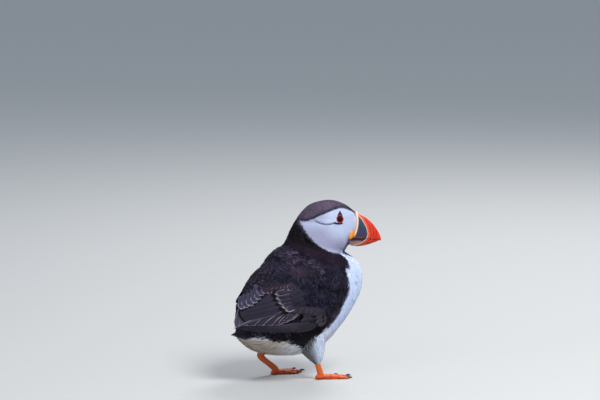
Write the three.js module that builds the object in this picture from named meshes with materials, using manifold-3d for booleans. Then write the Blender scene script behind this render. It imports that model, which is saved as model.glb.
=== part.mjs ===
// Atlantic puffin (Fratercula arctica), adult in summer plumage, life size.
// The bird stands on both feet and looks over its right shoulder.
// Millimetres. +X is the way the trunk faces, +Y the bird's left, +Z up, and the floor is z = 0.

import * as THREE from 'three';
import { mergeVertices } from 'three/addons/utils/BufferGeometryUtils.js';
import Module from 'manifold-3d';

const wasm = await Module();
wasm.setup();

// ---- driving dimensions ----

const gap = 0.3;              // clear space kept between neighbouring pieces
const headTurn = -25;         // degrees the head is turned to the bird's right
const neckAxisX = 14;         // the head turns about an upright line through the neck
const turnStart = 7.5;        // section number at which the neck begins to turn
const turnEnd = 12.5;         // section number from which the head is fully turned

// The body is a row of flat sections from the vent to the base of the bill. Each gives a point
// of the back outline, a point of the belly outline, how far up from the belly it is widest
// (0 to 1), its half width there, and the power of its superellipse.
//  backX backZ bellyX bellyZ widest half power
const bodySections = [
  [-71,  53,   -70,   46,   0.50,   6.0, 2.0],
  [-68,  64,   -61,   36,   0.50,  16.0, 2.1],
  [-63,  79,   -49,   29,   0.50,  25.5, 2.2],
  [-55,  95,   -32,   25,   0.52,  33.5, 2.4],
  [-45, 109,    -8,   24,   0.54,  38.0, 2.5],
  [-36, 121.5,  16,   29,   0.56,  39.0, 2.5],
  [-29, 130.5,  37,   44,   0.58,  39.0, 2.4],
  [-22, 135.5,  52,   63,   0.59,  38.0, 2.5],
  [-16.5, 138,  64,   84,   0.57,  36.0, 2.4],
  [-14, 140,    67.5, 103,  0.54,  33.0, 2.2],
  [-13, 143,    62,   118,  0.52,  29.5, 2.1],
  [-12, 147,    54.5, 126,  0.52,  26.5, 2.1],
  [ -9, 153,    50,   130,  0.52,  24.0, 2.1],
  [ -3, 162,    49.5, 131.2, 0.50, 23.0, 2.2],
  [  3.5, 171,  49.6, 131.8, 0.48, 22.2, 2.3],
  [ 12, 179,    50,  132.2, 0.46,  21.6, 2.4],
  [ 24, 184,    50.2, 132.8, 0.46, 21.0, 2.4],
  [ 36, 184.4,  50.6, 133.6, 0.46, 20.0, 2.4],
  [ 46, 181,    51.2, 134.8, 0.46, 17.4, 2.3],
  [ 53, 176.8,  51.8, 136.4, 0.46, 13.6, 2.2],
  [ 57, 172.6,  52.6, 138.4, 0.46,  9.6, 2.1],
];
const bodyRings = 35;         // rings of points along the body
const bodyAround = 26;        // points in each ring

// ---- shape tools ----

// Catmull-Rom spline through rows of numbers, read at a fractional row number.
function rowAt(rows, s) {
  const last = rows.length - 1;
  const i = Math.min(Math.max(Math.floor(s), 0), last - 1);
  const t = s - i;
  const [a, b, c, d] = [rows[Math.max(i - 1, 0)], rows[i], rows[i + 1], rows[Math.min(i + 2, last)]];
  return b.map((value, k) => value + 0.5 * t * (c[k] - a[k]
    + t * (2 * a[k] - 5 * value + 4 * c[k] - d[k] + t * (3 * (value - c[k]) + d[k] - a[k]))));
}

// One section as a closed ring: a superellipse in the plane through its back and belly points.
function sectionRing(row, around, grow = 0) {
  const [backX, backZ, bellyX, bellyZ, widest, half, power] = row;
  const height = Math.hypot(backX - bellyX, backZ - bellyZ);
  const up = new THREE.Vector3((backX - bellyX) / height, 0, (backZ - bellyZ) / height);
  const centre = new THREE.Vector3(bellyX, 0, bellyZ).addScaledVector(up, height * widest);
  const ring = [];
  for (let k = 0; k < around; k++) {
    const angle = (2 * Math.PI * k) / around;
    const side = Math.sign(Math.cos(angle)) * Math.abs(Math.cos(angle)) ** (2 / power);
    const rise = Math.sign(Math.sin(angle)) * Math.abs(Math.sin(angle)) ** (2 / power);
    const reach = (rise > 0 ? height * (1 - widest) : height * widest) + grow;
    ring.push(centre.clone().addScaledVector(up, rise * reach).setY(-side * (half + grow)));
  }
  return ring;
}

// Rings of points joined into one closed skin, each end closed by a fan from its middle.
function skinRings(rings) {
  const around = rings[0].length;
  const points = rings.flat();
  const faces = [];
  for (let i = 0; i + 1 < rings.length; i++) {
    for (let k = 0; k < around; k++) {
      const [a, b] = [i * around + k, i * around + ((k + 1) % around)];
      faces.push(a, b, b + around, a, b + around, a + around);
    }
  }
  for (const [start, first] of [[0, true], [(rings.length - 1) * around, false]]) {
    const middle = points.length;
    const ring = first ? rings[0] : rings[rings.length - 1];
    points.push(ring.reduce((sum, p) => sum.add(p), new THREE.Vector3()).divideScalar(around));
    for (let k = 0; k < around; k++) {
      const [a, b] = [start + k, start + ((k + 1) % around)];
      faces.push(...(first ? [middle, b, a] : [middle, a, b]));
    }
  }
  const geometry = new THREE.BufferGeometry();
  geometry.setAttribute('position', new THREE.Float32BufferAttribute(points.flatMap((p) => p.toArray()), 3));
  geometry.setIndex(faces);
  return facingOut(geometry);
}

// Turns every triangle round where the closed skin encloses a negative volume.
function facingOut(geometry) {
  const position = geometry.getAttribute('position');
  const index = geometry.getIndex().array;
  const corner = (n) => new THREE.Vector3().fromBufferAttribute(position, index[n]);
  let volume = 0;
  for (let n = 0; n < index.length; n += 3) volume += corner(n).dot(corner(n + 1).cross(corner(n + 2)));
  if (volume < 0) {
    for (let n = 0; n < index.length; n += 3) [index[n], index[n + 1]] = [index[n + 1], index[n]];
  }
  return geometry;
}

// A body of sections: rows, how many rings, how many points a ring.
function sectionLoft(rows, ringCount, around, grow = 0, turn = () => 0) {
  const rings = [];
  for (let i = 0; i < ringCount; i++) {
    const s = ((rows.length - 1) * i) / (ringCount - 1);
    const ring = sectionRing(rowAt(rows, s), around, grow);
    ring.forEach((p) => turnAboutNeck(p, turn(s)));
    rings.push(ring);
  }
  return skinRings(rings);
}

// A tube along stations, each its centre x, y, z, then its half width across and half height.
function tube(stations, ringCount, around) {
  const rings = [];
  const centreAt = (s) => new THREE.Vector3(...rowAt(stations, s).slice(0, 3));
  const last = stations.length - 1;
  for (let i = 0; i < ringCount; i++) {
    const s = (last * i) / (ringCount - 1);
    const [, , , across, high] = rowAt(stations, s);
    const along = centreAt(Math.min(s + 0.02, last)).sub(centreAt(Math.max(s - 0.02, 0))).normalize();
    const side = new THREE.Vector3(0, 1, 0).addScaledVector(along, -along.y).normalize();
    const up = new THREE.Vector3().crossVectors(along, side);
    rings.push(Array.from({ length: around }, (_, k) => {
      const angle = (2 * Math.PI * (k + 0.5)) / around;
      return centreAt(s).addScaledVector(side, across * Math.cos(angle))
        .addScaledVector(up, high * Math.sin(angle));
    }));
  }
  return skinRings(rings);
}

function turnAboutNeck(point, degrees) {
  const angle = THREE.MathUtils.degToRad(degrees);
  const [x, y] = [point.x - neckAxisX, point.y];
  point.x = neckAxisX + x * Math.cos(angle) - y * Math.sin(angle);
  point.y = x * Math.sin(angle) + y * Math.cos(angle);
  return point;
}

// How far the section at number s is turned.
function neckTurn(s) {
  return headTurn * THREE.MathUtils.smoothstep(s, turnStart, turnEnd);
}

// ---- joins and cuts ----

function solid(geometry) {
  const bare = geometry.clone();
  bare.deleteAttribute('normal');
  bare.deleteAttribute('uv');
  const merged = mergeVertices(bare, 1e-4);
  return new wasm.Manifold(new wasm.Mesh({
    numProp: 3,
    vertProperties: new Float32Array(merged.getAttribute('position').array),
    triVerts: new Uint32Array(merged.getIndex().array),
  }));
}

function geometryOf(body) {
  const mesh = body.getMesh();
  const geometry = new THREE.BufferGeometry();
  geometry.setAttribute('position', new THREE.BufferAttribute(new Float32Array(mesh.vertProperties), 3));
  geometry.setIndex(new THREE.BufferAttribute(new Uint32Array(mesh.triVerts), 1));
  return geometry;
}

// All space on one side of a plane, kept half a gap back from it, as a very large block.
function sideOf(point, normal) {
  const size = 500;
  const block = new THREE.BoxGeometry(size, size, size).translate(0, 0, (size + gap) / 2);
  const turn = new THREE.Quaternion().setFromUnitVectors(
    new THREE.Vector3(0, 0, 1), new THREE.Vector3(...normal).normalize());
  return solid(block.applyQuaternion(turn).translate(...point));
}

// A flat outline in the side view (x, z), carried across from one y to another.
function sidePlate(outline, fromY, toY) {
  const shape = new THREE.Shape(outline.map(([x, z]) => new THREE.Vector2(x, z)));
  const plate = new THREE.ExtrudeGeometry(shape, { depth: toY - fromY, bevelEnabled: false });
  return plate.rotateX(Math.PI / 2).translate(0, toY, 0);
}

// ---- colours and the model ----

const finish = {
  black: new THREE.MeshStandardMaterial({ color: 0x17141b, roughness: 0.7, metalness: 0 }),
  mantle: new THREE.MeshStandardMaterial({ color: 0x2c2733, roughness: 0.65, metalness: 0 }),
  quill: new THREE.MeshStandardMaterial({ color: 0x3a3646, roughness: 0.6, metalness: 0 }),
  face: new THREE.MeshStandardMaterial({ color: 0xc9d2e6, roughness: 0.75, metalness: 0 }),
  leg: new THREE.MeshStandardMaterial({ color: 0xd8dde8, roughness: 0.8, metalness: 0 }),
  billRed: new THREE.MeshStandardMaterial({ color: 0xe04a2c, roughness: 0.4, metalness: 0 }),
  cream: new THREE.MeshStandardMaterial({ color: 0xe6cfa8, roughness: 0.5, metalness: 0 }),
  rosette: new THREE.MeshStandardMaterial({ color: 0xe8951c, roughness: 0.55, metalness: 0 }),
  foot: new THREE.MeshStandardMaterial({ color: 0xe66a28, roughness: 0.5, metalness: 0 }),
  claw: new THREE.MeshStandardMaterial({ color: 0x1a1512, roughness: 0.4, metalness: 0 }),
  eye: new THREE.MeshStandardMaterial({ color: 0x120b08, roughness: 0.1, metalness: 0 }),
  plate: new THREE.MeshStandardMaterial({ color: 0x4a4c5c, roughness: 0.5, metalness: 0 }),
};

const puffin = new THREE.Group();

function add(name, shape, material) {
  const mesh = new THREE.Mesh(shape.isBufferGeometry ? shape : geometryOf(shape), material);
  mesh.name = name;
  puffin.add(mesh);
  return mesh;
}

// ---- the bill: two horny blades with a cere round their root ----

// Sections as in bodySections, from the face to the tip.
const upperBillSections = [
  [60.3, 171.2,  57.1, 144.6,  0.10, 8.7, 1.9],
  [65.0, 168.9,  62.0, 144.3,  0.10, 7.9, 1.8],
  [70.0, 165.9,  67.5, 144.0,  0.10, 6.8, 1.8],
  [75.2, 161.6,  73.0, 143.5,  0.10, 5.4, 1.8],
  [79.8, 156.0,  78.0, 142.6,  0.10, 3.9, 1.8],
  [83.2, 150.4,  82.0, 141.4,  0.10, 2.5, 1.8],
  [85.2, 144.6,  84.6, 140.4,  0.15, 1.0, 1.9],
];
const lowerBillSections = [
  [53.9, 144.1,  53.2, 137.6,  0.84, 8.6, 1.9],
  [61.5, 143.9,  60.5, 135.9,  0.84, 7.4, 1.8],
  [67.0, 143.6,  66.5, 136.2,  0.84, 6.2, 1.8],
  [72.5, 143.1,  72.0, 137.8,  0.84, 4.8, 1.8],
  [77.5, 142.2,  77.2, 139.4,  0.82, 3.2, 1.8],
  [81.4, 141.1,  81.2, 139.9,  0.80, 1.6, 1.9],
];
const cereSections = [
  [57.6, 172.9,  54.1, 144.6,  0.20, 9.9, 2.0],
  [59.7, 172.1,  56.5, 144.6,  0.16, 9.5, 2.0],
];
const atHead = () => headTurn;
add('bill_upper', sectionLoft(upperBillSections, 13, 20, 0, atHead), finish.billRed);
add('bill_lower', sectionLoft(lowerBillSections, 10, 16, 0, atHead), finish.billRed);

// ---- eyes, their rings and horny plates, and the rosettes at the gape ----

const eyeAt = { x: 42.8, z: 167.3 };
const eyeRadius = 4.2;
const eyeOpening = 2.75;      // radius of the part that shows
const ringRadius = 3.4;
const ringThickness = 0.4;
const plateDepth = 1.6;
const upperPlate = [[-2.1, 4.2], [2.1, 4.2], [0.9, 5.9], [0.0, 7.6], [-0.9, 5.9]];
const lowerPlate = [[-5.2, -4.2], [1.8, -4.3], [1.4, -5.3], [-4.4, -5.7]];
const rosetteAt = { x: 55.2, z: 147.6 };
const rosetteSize = { along: 2.7, high: 4.6, across: 1.7 };

// Half width of the unturned head at a point of its side view.
function sideOfHead(x, z) {
  let best = { miss: Infinity, y: 0 };
  for (let s = turnEnd; s <= bodySections.length - 1; s += 0.01) {
    const [backX, backZ, bellyX, bellyZ, widest, half, power] = rowAt(bodySections, s);
    const height = Math.hypot(backX - bellyX, backZ - bellyZ);
    const [upX, upZ] = [(backX - bellyX) / height, (backZ - bellyZ) / height];
    const miss = Math.abs((x - bellyX) * upZ - (z - bellyZ) * upX);
    if (miss > best.miss) continue;
    const rise = ((x - bellyX) * upX + (z - bellyZ) * upZ) / height - widest;
    const share = Math.min(Math.abs(rise) / (rise > 0 ? 1 - widest : widest), 1);
    best = { miss, y: half * (1 - share ** power) ** (1 / power) };
  }
  return best.y;
}

// Moves a piece made at the unturned head to the turned one.
function turnedWithHead(geometry) {
  const position = geometry.getAttribute('position');
  const point = new THREE.Vector3();
  for (let i = 0; i < position.count; i++) {
    point.fromBufferAttribute(position, i);
    turnAboutNeck(point, headTurn);
    position.setXYZ(i, point.x, point.y, point.z);
  }
  return geometry;
}

const headPockets = [];
const rosettePockets = [];
const pocketDepth = 1.2;      // the round pocket of the ring, below the skin

function headPiece(name, material, make) {
  add(name, solid(turnedWithHead(make(0))), material);
  headPockets.push(solid(turnedWithHead(make(gap))));
}

for (const [name, side] of [['left', 1], ['right', -1]]) {
  const skinY = sideOfHead(eyeAt.x, eyeAt.z);
  const sunk = Math.sqrt(eyeRadius ** 2 - eyeOpening ** 2);
  headPiece(`eye_${name}`, finish.eye, (grow) => new THREE.SphereGeometry(eyeRadius + grow, 12, 9)
    .translate(eyeAt.x, side * (skinY - sunk), eyeAt.z));
  add(`eyering_${name}`, solid(turnedWithHead(new THREE.TorusGeometry(ringRadius, ringThickness, 5, 16)
    .rotateX(Math.PI / 2).translate(eyeAt.x, side * skinY, eyeAt.z))), finish.billRed);
  headPockets.push(solid(turnedWithHead(
    new THREE.CylinderGeometry(ringRadius + ringThickness + gap, ringRadius + ringThickness + gap, 4, 14)
      .translate(eyeAt.x, side * (skinY + 2 - pocketDepth), eyeAt.z))));
  for (const [plate, outline] of [['upper', upperPlate], ['lower', lowerPlate]]) {
    const middleX = outline.reduce((sum, [x]) => sum + x, 0) / outline.length;
    const middleZ = outline.reduce((sum, [, z]) => sum + z, 0) / outline.length;
    const plateY = sideOfHead(eyeAt.x + middleX, eyeAt.z + middleZ);
    headPiece(`eyeplate_${plate}_${name}`, finish.plate, (grow) => {
      const reach = 1 + grow / 2;
      const grown = outline.map(([x, z]) => [
        eyeAt.x + middleX + (x - middleX) * reach, eyeAt.z + middleZ + (z - middleZ) * reach]);
      const depth = plateDepth / 2 + grow;
      return sidePlate(grown, side * plateY - depth, side * plateY + depth);
    });
  }
  headPiece(`rosette_${name}`, finish.rosette, (grow) => new THREE.SphereGeometry(1, 10, 7)
    .scale(rosetteSize.along + grow, rosetteSize.across + grow, rosetteSize.high + grow)
    .rotateY(0.35)
    .translate(rosetteAt.x, side * (sideOfHead(53, rosetteAt.z) + 0.4), rosetteAt.z));
  rosettePockets.push(headPockets[headPockets.length - 1]);
}
add('cere', rosettePockets.reduce((form, pocket) => form.subtract(pocket),
  solid(sectionLoft(cereSections, 2, 24, 0, atHead))), finish.cream);

// ---- head, neck and trunk: one form parted by thin cuts ----

const bodyForm = (grow) => solid(sectionLoft(bodySections, bodyRings, bodyAround, grow, neckTurn));
const whole = bodyForm(0);
const cleared = bodyForm(gap);

const neckCut = { point: [-10, 0, 140], normal: [0.36, -0.1, 0.93] };   // trunk below, neck above
const headCut = { point: [-7, 0, 156], normal: [0.40, -0.18, 0.9] };    // neck below, head above
const opposite = (normal) => normal.map((value) => -value);

const trunk = whole.intersect(sideOf(neckCut.point, opposite(neckCut.normal)));
const neck = whole.intersect(sideOf(neckCut.point, neckCut.normal))
  .intersect(sideOf(headCut.point, opposite(headCut.normal)));
const head = headPockets.reduce((form, pocket) => form.subtract(pocket),
  whole.intersect(sideOf(headCut.point, headCut.normal)));

add('trunk', trunk, finish.mantle);
add('neck', neck, finish.black);
add('head', head, finish.face);

// ---- the tail: a short fan of stiff feathers ----

const tailSections = [
  [-46, 67,     -46, 56,     0.5, 13, 2.2],
  [-57, 61,     -57, 54,     0.5, 16, 2.2],
  [-65, 56,     -65, 51,     0.5, 17, 2.4],
  [-71, 51.5,   -71, 48,     0.5, 15, 2.6],
  [-75, 48,     -75, 45.5,   0.5, 10, 2.4],
];
const tailForm = (grow) => solid(sectionLoft(tailSections, 9, 20, grow));
add('tail', tailForm(0).subtract(cleared), finish.quill);

// ---- folded wings: the arm with its coverts, and the flight feathers behind and below it ----

const wingThickness = 6.5;    // arm and coverts, over the flank
const quillThickness = 4.5;   // the stacked flight feathers
// Side outlines, x and z. The arm and the flight feathers share the edge line between them.
const sharedEdge = [[14, 58], [2, 68], [-18, 78], [-38, 80], [-52, 75.5], [-66, 69.5]];
const armEdge = [[-70, 76], [-66, 88], [-56, 101], [-42, 113], [-24, 121], [-4, 124], [14, 122],
  [28, 116], [34, 106], [36.5, 95], [35, 84], [31, 74], [23, 64]];
const quillEdge = [[-72, 63], [-77, 57], [-78, 54], [-70, 52.5], [-58, 51.5], [-42, 51], [-20, 52.5],
  [0, 55]];
const tuck = { left: 0.91, right: 1 };   // how much of its length each wing tip reaches back
// The form that the flight feathers lie on, closing in towards the tail.
const quillSections = [
  [24, 110,   24, 20,   0.48, 43.5, 2.2],
  [0, 110,    0, 20,    0.48, 45.5, 2.2],
  [-22, 108,  -22, 20,  0.48, 44, 2.2],
  [-42, 104,  -42, 22,  0.47, 38.5, 2.2],
  [-58, 98,   -58, 26,  0.46, 28.5, 2.2],
  [-70, 90,   -70, 30,  0.45, 18, 2.2],
  [-80, 82,   -80, 36,  0.44, 9, 2.2],
];
const quillForm = (grow) => solid(sectionLoft(quillSections, 15, 28, grow));
// The rounded outside of the arm, which thins out to its front and upper edges.
const armSections = [
  [39, 112,    39, 66,   0.50, 29, 2.2],
  [34, 120,    34, 48,   0.50, 35.5, 2.2],
  [24, 127,    24, 30,   0.50, 41.5, 2.3],
  [8, 131,     8, 20,    0.50, 45.2, 2.3],
  [-12, 130,   -12, 18,  0.50, 45.6, 2.3],
  [-32, 124,   -32, 20,  0.50, 43, 2.3],
  [-50, 113,   -50, 24,  0.50, 37, 2.2],
  [-63, 100,   -63, 30,  0.50, 28, 2.2],
  [-73, 88,    -73, 38,  0.50, 16, 2.1],
];
const armShell = bodyForm(wingThickness).intersect(solid(sectionLoft(armSections, 17, 28)))
  .subtract(cleared);
const quillShell = quillForm(0).subtract(quillForm(-quillThickness)).subtract(cleared)
  .subtract(tailForm(gap));
const lowered = ([x, z]) => [x, z - gap];
const backHalf = 12;          // half width of the back that shows between the wings

const spineHalf = 1;          // the wing tips come this near the middle line
const outside = 80;           // clear of the bird on either side

// A side outline carried out from near the middle line on one side of the bird.
function flankPlate(outline, nearest, side) {
  return solid(side > 0 ? sidePlate(outline, nearest, outside) : sidePlate(outline, -outside, -nearest));
}

for (const [name, side] of [['left', 1], ['right', -1]]) {
  const tucked = ([x, z]) => [x * tuck[name], z];
  const quillOutline = [...sharedEdge.map(lowered), ...quillEdge.map(tucked)];
  add(`wing_${name}`, armShell.intersect(flankPlate([...sharedEdge, ...armEdge], backHalf, side)),
    finish.mantle);
  add(`flight_feathers_${name}`, quillShell.intersect(flankPlate(quillOutline, spineHalf, side)),
    finish.quill);
}

// ---- legs: feathered thighs, bare shanks and webbed feet ----

// Stations as in tube: x, y, z, half width, half depth. Both feet stand on the floor, the left one
// behind, with its heel raised.
const legs = {
  right: {
    side: -1,
    thigh: [[-2, -17, 56, 17, 19], [2, -19, 42, 15, 17], [6.5, -20.5, 30, 11, 12], [9.5, -21, 22, 7, 8],
      [10.3, -21.3, 17.5, 4, 4.6]],
    shank: [[10.4, -21.4, 16.8, 2.9, 3.6], [11.6, -21.6, 12.6, 2.6, 3.3], [13, -22, 8, 2.8, 3.6],
      [13.6, -22, 5.8, 3.4, 3.4]],
    foot: { x: 14.5, y: -22, turn: 0 },
  },
  left: {
    side: 1,
    thigh: [[6, 17, 54, 17, 18], [-4, 18.5, 42, 15, 16], [-16, 20, 33, 10.5, 10.5],
      [-25, 20.6, 27.6, 6, 5.5], [-29, 20.8, 25.8, 4, 4]],
    shank: [[-29.8, 21, 25.2, 2.9, 3.6], [-35, 21, 22.6, 3.4, 4.4], [-33, 21.2, 18.4, 3.0, 3.7],
      [-26, 21.6, 13.2, 2.7, 3.3], [-21, 22, 9.4, 3.1, 3.5], [-18.8, 22, 7.8, 3.4, 3.4]],
    foot: { x: -16.5, y: 22, turn: 4 },
  },
};
// Toes: angle outwards, length, and the length of the claw.
const toes = {
  inner: { angle: -24, length: 22, claw: 4.4 },
  middle: { angle: 0, length: 29, claw: 5.0 },
  outer: { angle: 22, length: 28, claw: 4.2 },
};
const toeRadius = 2.5;
const soleSink = 0.35;        // how much of a toe's underside is taken off to a flat
const webTop = 1.5;
const webReach = 0.94;        // where the web ends, along a toe

// Puts a piece made about the foot's own root, toes along +X, in its place under the leg.
function placedAtFoot(geometry, { x, y, turn }) {
  return geometry.rotateZ(THREE.MathUtils.degToRad(turn)).translate(x, y, 0);
}

function toeTube({ angle, length }, side) {
  const outwards = THREE.MathUtils.degToRad(angle * side);
  const at = (share, z, across, high) => [
    share * length * Math.cos(outwards), share * length * Math.sin(outwards), z, across, high];
  const r = toeRadius;
  return tube([
    at(-0.12, r - soleSink, r, r),
    at(0.0, r - soleSink, r * 1.15, r),
    at(0.25, r - soleSink, r * 0.95, r),
    at(0.5, r - soleSink - 0.2, r * 0.9, r * 0.92),
    at(0.78, r - soleSink - 0.5, r * 0.8, r * 0.8),
    at(1.0, r - soleSink - 0.9, r * 0.55, r * 0.55),
  ], 7, 8);
}

function clawTube({ angle, length, claw }, side) {
  const outwards = THREE.MathUtils.degToRad(angle * side);
  const at = (reach, z, radius) => [(length + gap + reach) * Math.cos(outwards),
    (length + gap + reach) * Math.sin(outwards), z, radius * 0.8, radius];
  return tube([at(0, 1.7, 1.25), at(claw * 0.5, 1.6, 0.95), at(claw, 0.5, 0.3)], 4, 6);
}

function webPlate(side) {
  const tip = ({ angle, length }) => {
    const outwards = THREE.MathUtils.degToRad(angle * side);
    return [length * webReach * Math.cos(outwards), length * webReach * Math.sin(outwards)];
  };
  const [inner, middle, outer] = [tip(toes.inner), tip(toes.middle), tip(toes.outer)];
  const sag = 0.88;           // the free edge curves in between two toes
  const between = (a, b) => [((a[0] + b[0]) / 2) * sag, ((a[1] + b[1]) / 2) * sag];
  const shape = new THREE.Shape().moveTo(-1, 0).lineTo(...inner)
    .quadraticCurveTo(...between(inner, middle), ...middle)
    .quadraticCurveTo(...between(middle, outer), ...outer);
  return new THREE.ExtrudeGeometry(shape, { depth: webTop - gap, bevelEnabled: false, curveSegments: 3 })
    .translate(0, 0, gap);
}

// Everything above the floor: it takes the undersides of the toes off to flats.
const aboveFloor = solid(new THREE.BoxGeometry(400, 400, 100).translate(0, 0, 50));
for (const [name, { side, thigh, shank, foot }] of Object.entries(legs)) {
  add(`thigh_${name}`, solid(tube(thigh, 8, 14)).subtract(cleared), finish.leg);
  add(`shank_${name}`, tube(shank, 10, 10), finish.foot);
  const toeForms = Object.values(toes).map((toe) => solid(toeTube(toe, side)));
  const footForm = toeForms.reduce((form, toe) => form.add(toe), solid(webPlate(side)))
    .intersect(aboveFloor);
  add(`foot_${name}`, placedAtFoot(geometryOf(footForm), foot), finish.foot);
  for (const [toeName, toe] of Object.entries(toes)) {
    add(`claw_${toeName}_${name}`, placedAtFoot(clawTube(toe, side), foot), finish.claw);
  }
}

// The frame's origin is on the floor, under the middle of the whole bird's box.
const middle = new THREE.Box3().setFromObject(puffin).getCenter(new THREE.Vector3());
puffin.position.set(-middle.x, -middle.y, 0);

export default puffin;
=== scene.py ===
import math
import bpy
import numpy as np
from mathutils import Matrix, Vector


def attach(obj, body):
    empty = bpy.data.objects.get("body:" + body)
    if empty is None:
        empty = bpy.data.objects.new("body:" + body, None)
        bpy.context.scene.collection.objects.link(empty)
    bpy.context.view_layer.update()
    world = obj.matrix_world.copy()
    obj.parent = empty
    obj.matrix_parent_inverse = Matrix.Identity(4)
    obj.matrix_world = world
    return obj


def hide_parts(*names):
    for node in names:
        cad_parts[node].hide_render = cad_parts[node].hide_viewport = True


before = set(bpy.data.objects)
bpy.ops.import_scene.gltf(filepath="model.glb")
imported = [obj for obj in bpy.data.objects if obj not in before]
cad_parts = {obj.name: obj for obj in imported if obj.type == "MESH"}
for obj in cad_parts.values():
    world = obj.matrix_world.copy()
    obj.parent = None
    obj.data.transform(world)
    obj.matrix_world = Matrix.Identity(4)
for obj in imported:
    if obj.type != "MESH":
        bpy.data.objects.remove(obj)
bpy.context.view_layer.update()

# An Atlantic puffin in breeding dress. Shapes are worked out in millimetres in the bird's own
# side view (x forward, z up, the head looking straight ahead), then turned and placed.

millimetre = 0.001
headSection = 20.0            # a section of the body where the head is fully turned
random = np.random.default_rng(41)


def ink(red, green, blue):
    # a colour by its 0 to 255 display values, as linear light
    share = np.array([red, green, blue], float) / 255
    return np.where(share <= 0.04045, share / 12.92, ((share + 0.055) / 1.055) ** 2.4)


def ease(low, high, value):
    # 0 below low, 1 above high, an S curve between
    share = np.clip((value - low) / (high - low), 0, 1)
    return share * share * (3 - 2 * share)


def bell(gap, width, power=2):
    # 1 in the middle, 1/e at the width
    return np.exp(-(gap / width) ** power)


def stack(*parts):
    # the parts side by side on a new last axis
    return np.stack(np.broadcast_arrays(*parts), -1)


def dot(first, second):
    # the dot product along the last axis, which stays
    return (first * second).sum(-1, keepdims=True)


def unit(vectors):
    # each vector over its length
    return vectors / np.maximum(np.linalg.norm(vectors, axis=-1, keepdims=True), 1e-9)


# the body's form
body = {
    # one row for each slanted section from tail to bill: the back point x, z, the belly point x, z,
    # how high its widest level is, its half width and its squareness
    "sections": [
        [-71, 53, -70, 46, 0.50, 6, 2.0],
        [-68, 64, -61, 36, 0.50, 16, 2.1],
        [-63, 79, -49, 29, 0.50, 25.5, 2.2],
        [-55, 95, -32, 25, 0.52, 33.5, 2.4],
        [-45, 109, -8, 24, 0.54, 38, 2.5],
        [-36, 121.5, 16, 29, 0.56, 39, 2.5],
        [-29, 130.5, 37, 44, 0.58, 39, 2.4],
        [-22, 135.5, 52.6, 63, 0.59, 38, 2.5],
        [-16.8, 138.3, 65.6, 84, 0.57, 36, 2.4],
        [-15.4, 140.8, 68.6, 102, 0.54, 33, 2.2],
        [-14, 143.6, 63.4, 118, 0.52, 29.5, 2.1],
        [-12.4, 147, 55.4, 126, 0.52, 26.5, 2.1],
        [-9.8, 153.3, 49.6, 130, 0.52, 24, 2.1],
        [-4.3, 162.8, 48.6, 131.2, 0.50, 23, 2.2],
        [2.4, 171.9, 48.4, 131.8, 0.48, 22.2, 2.3],
        [11, 179.8, 48.6, 132.2, 0.46, 21.6, 2.4],
        [24, 184, 48.9, 132.8, 0.46, 21, 2.4],
        [36, 184.4, 49.5, 133.8, 0.46, 20, 2.4],
        [46, 181, 50.4, 135.6, 0.46, 17.4, 2.3],
        [53, 176.8, 51.6, 137.4, 0.46, 13.6, 2.2],
        [58.2, 172.3, 53.8, 138.4, 0.46, 9.4, 2.1],
    ],
    "headTurn": -25,          # degrees, about an upright line at neckAxis
    "neckAxis": 14,
    "turnStart": 7.5,         # section where the neck starts to turn, and where the head is fully turned
    "turnEnd": 12.5,
    "frameShift": -0.35,      # from the bird's own x to the frame's
    "bow": 3.2,               # how far the face's front edge bows forward, at which height, over what reach
    "bowAt": 159.5,
    "bowReach": 15,
    "rows": 330,
    "around": 236,
}
# heights in the skin, in millimetres
relief = {
    "gap": 1.0,               # shadowed gaps between the feather groups
    "socket": 1.5,
    "lid": 0.5, "lidAt": 4.6,     # and how far from the eye's middle
    "brow": 0.7, "browAt": 9,
    "crease": 0.9,
    "creaseFold": 0.6, "foldAbove": 2.6,
    "cheek": 0.7, "cheekAt": (34, 147), "cheekReach": 11,
}


def rowAt(rows, s):
    # a smooth curve through the rows: b + t/2 (c - a + t (2a - 5b + 4c - d + t (3(b - c) + d - a)))
    rows = np.asarray(rows, float)
    s = np.clip(s, 0, len(rows) - 1)
    i = np.clip(np.floor(s).astype(int), 0, len(rows) - 2)
    t = (s - i)[..., None]
    a = rows[np.maximum(i - 1, 0)]
    b = rows[i]
    c = rows[i + 1]
    d = rows[np.minimum(i + 2, len(rows) - 1)]
    return b + 0.5 * t * (c - a + t * (2 * a - 5 * b + 4 * c - d + t * (3 * (b - c) + d - a)))


def sectionFrame(row):
    # the belly point, the direction up the section, its height, widest level, half width and power
    backX, backZ, bellyX, bellyZ, widest, half, power = np.moveaxis(row, -1, 0)
    height = np.hypot(backX - bellyX, backZ - bellyZ)
    return bellyX, bellyZ, (backX - bellyX) / height, (backZ - bellyZ) / height, height, widest, half, power


def sectionPoint(rows, s, angle):
    # a section is a superellipse in the plane through its back and belly points: half |cos|^(2/n)
    # to the side and its reach |sin|^(2/n) up or down, with angle 0 on the left and 90 on the back
    bellyX, bellyZ, upX, upZ, height, widest, half, power = sectionFrame(rowAt(rows, s))
    across, rise = (np.sign(wave) * np.abs(wave) ** (2 / power) for wave in (np.cos(angle), np.sin(angle)))
    level = height * widest + rise * (np.where(rise > 0, 1 - widest, widest) * height)
    return stack(bellyX + upX * level, across * half, bellyZ + upZ * level)


def faceBulge(points, share):
    # the feathers' front edge bows forward over the bill's root: x + bow share (1 - ((z - at) / reach)^2)
    bump = share * np.maximum(1 - ((points[..., 2] - body["bowAt"]) / body["bowReach"]) ** 2, 0)
    return points * stack(1, 1 - 0.07 * bump, 1) + stack(body["bow"] * bump, 0, 0)


def turnAbout(points, axis, angle):
    # turned about the upright line at x = axis
    x, y, z = np.moveaxis(points, -1, 0)
    x = x - axis
    return stack(axis + x * np.cos(angle) - y * np.sin(angle), x * np.sin(angle) + y * np.cos(angle), z)


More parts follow.
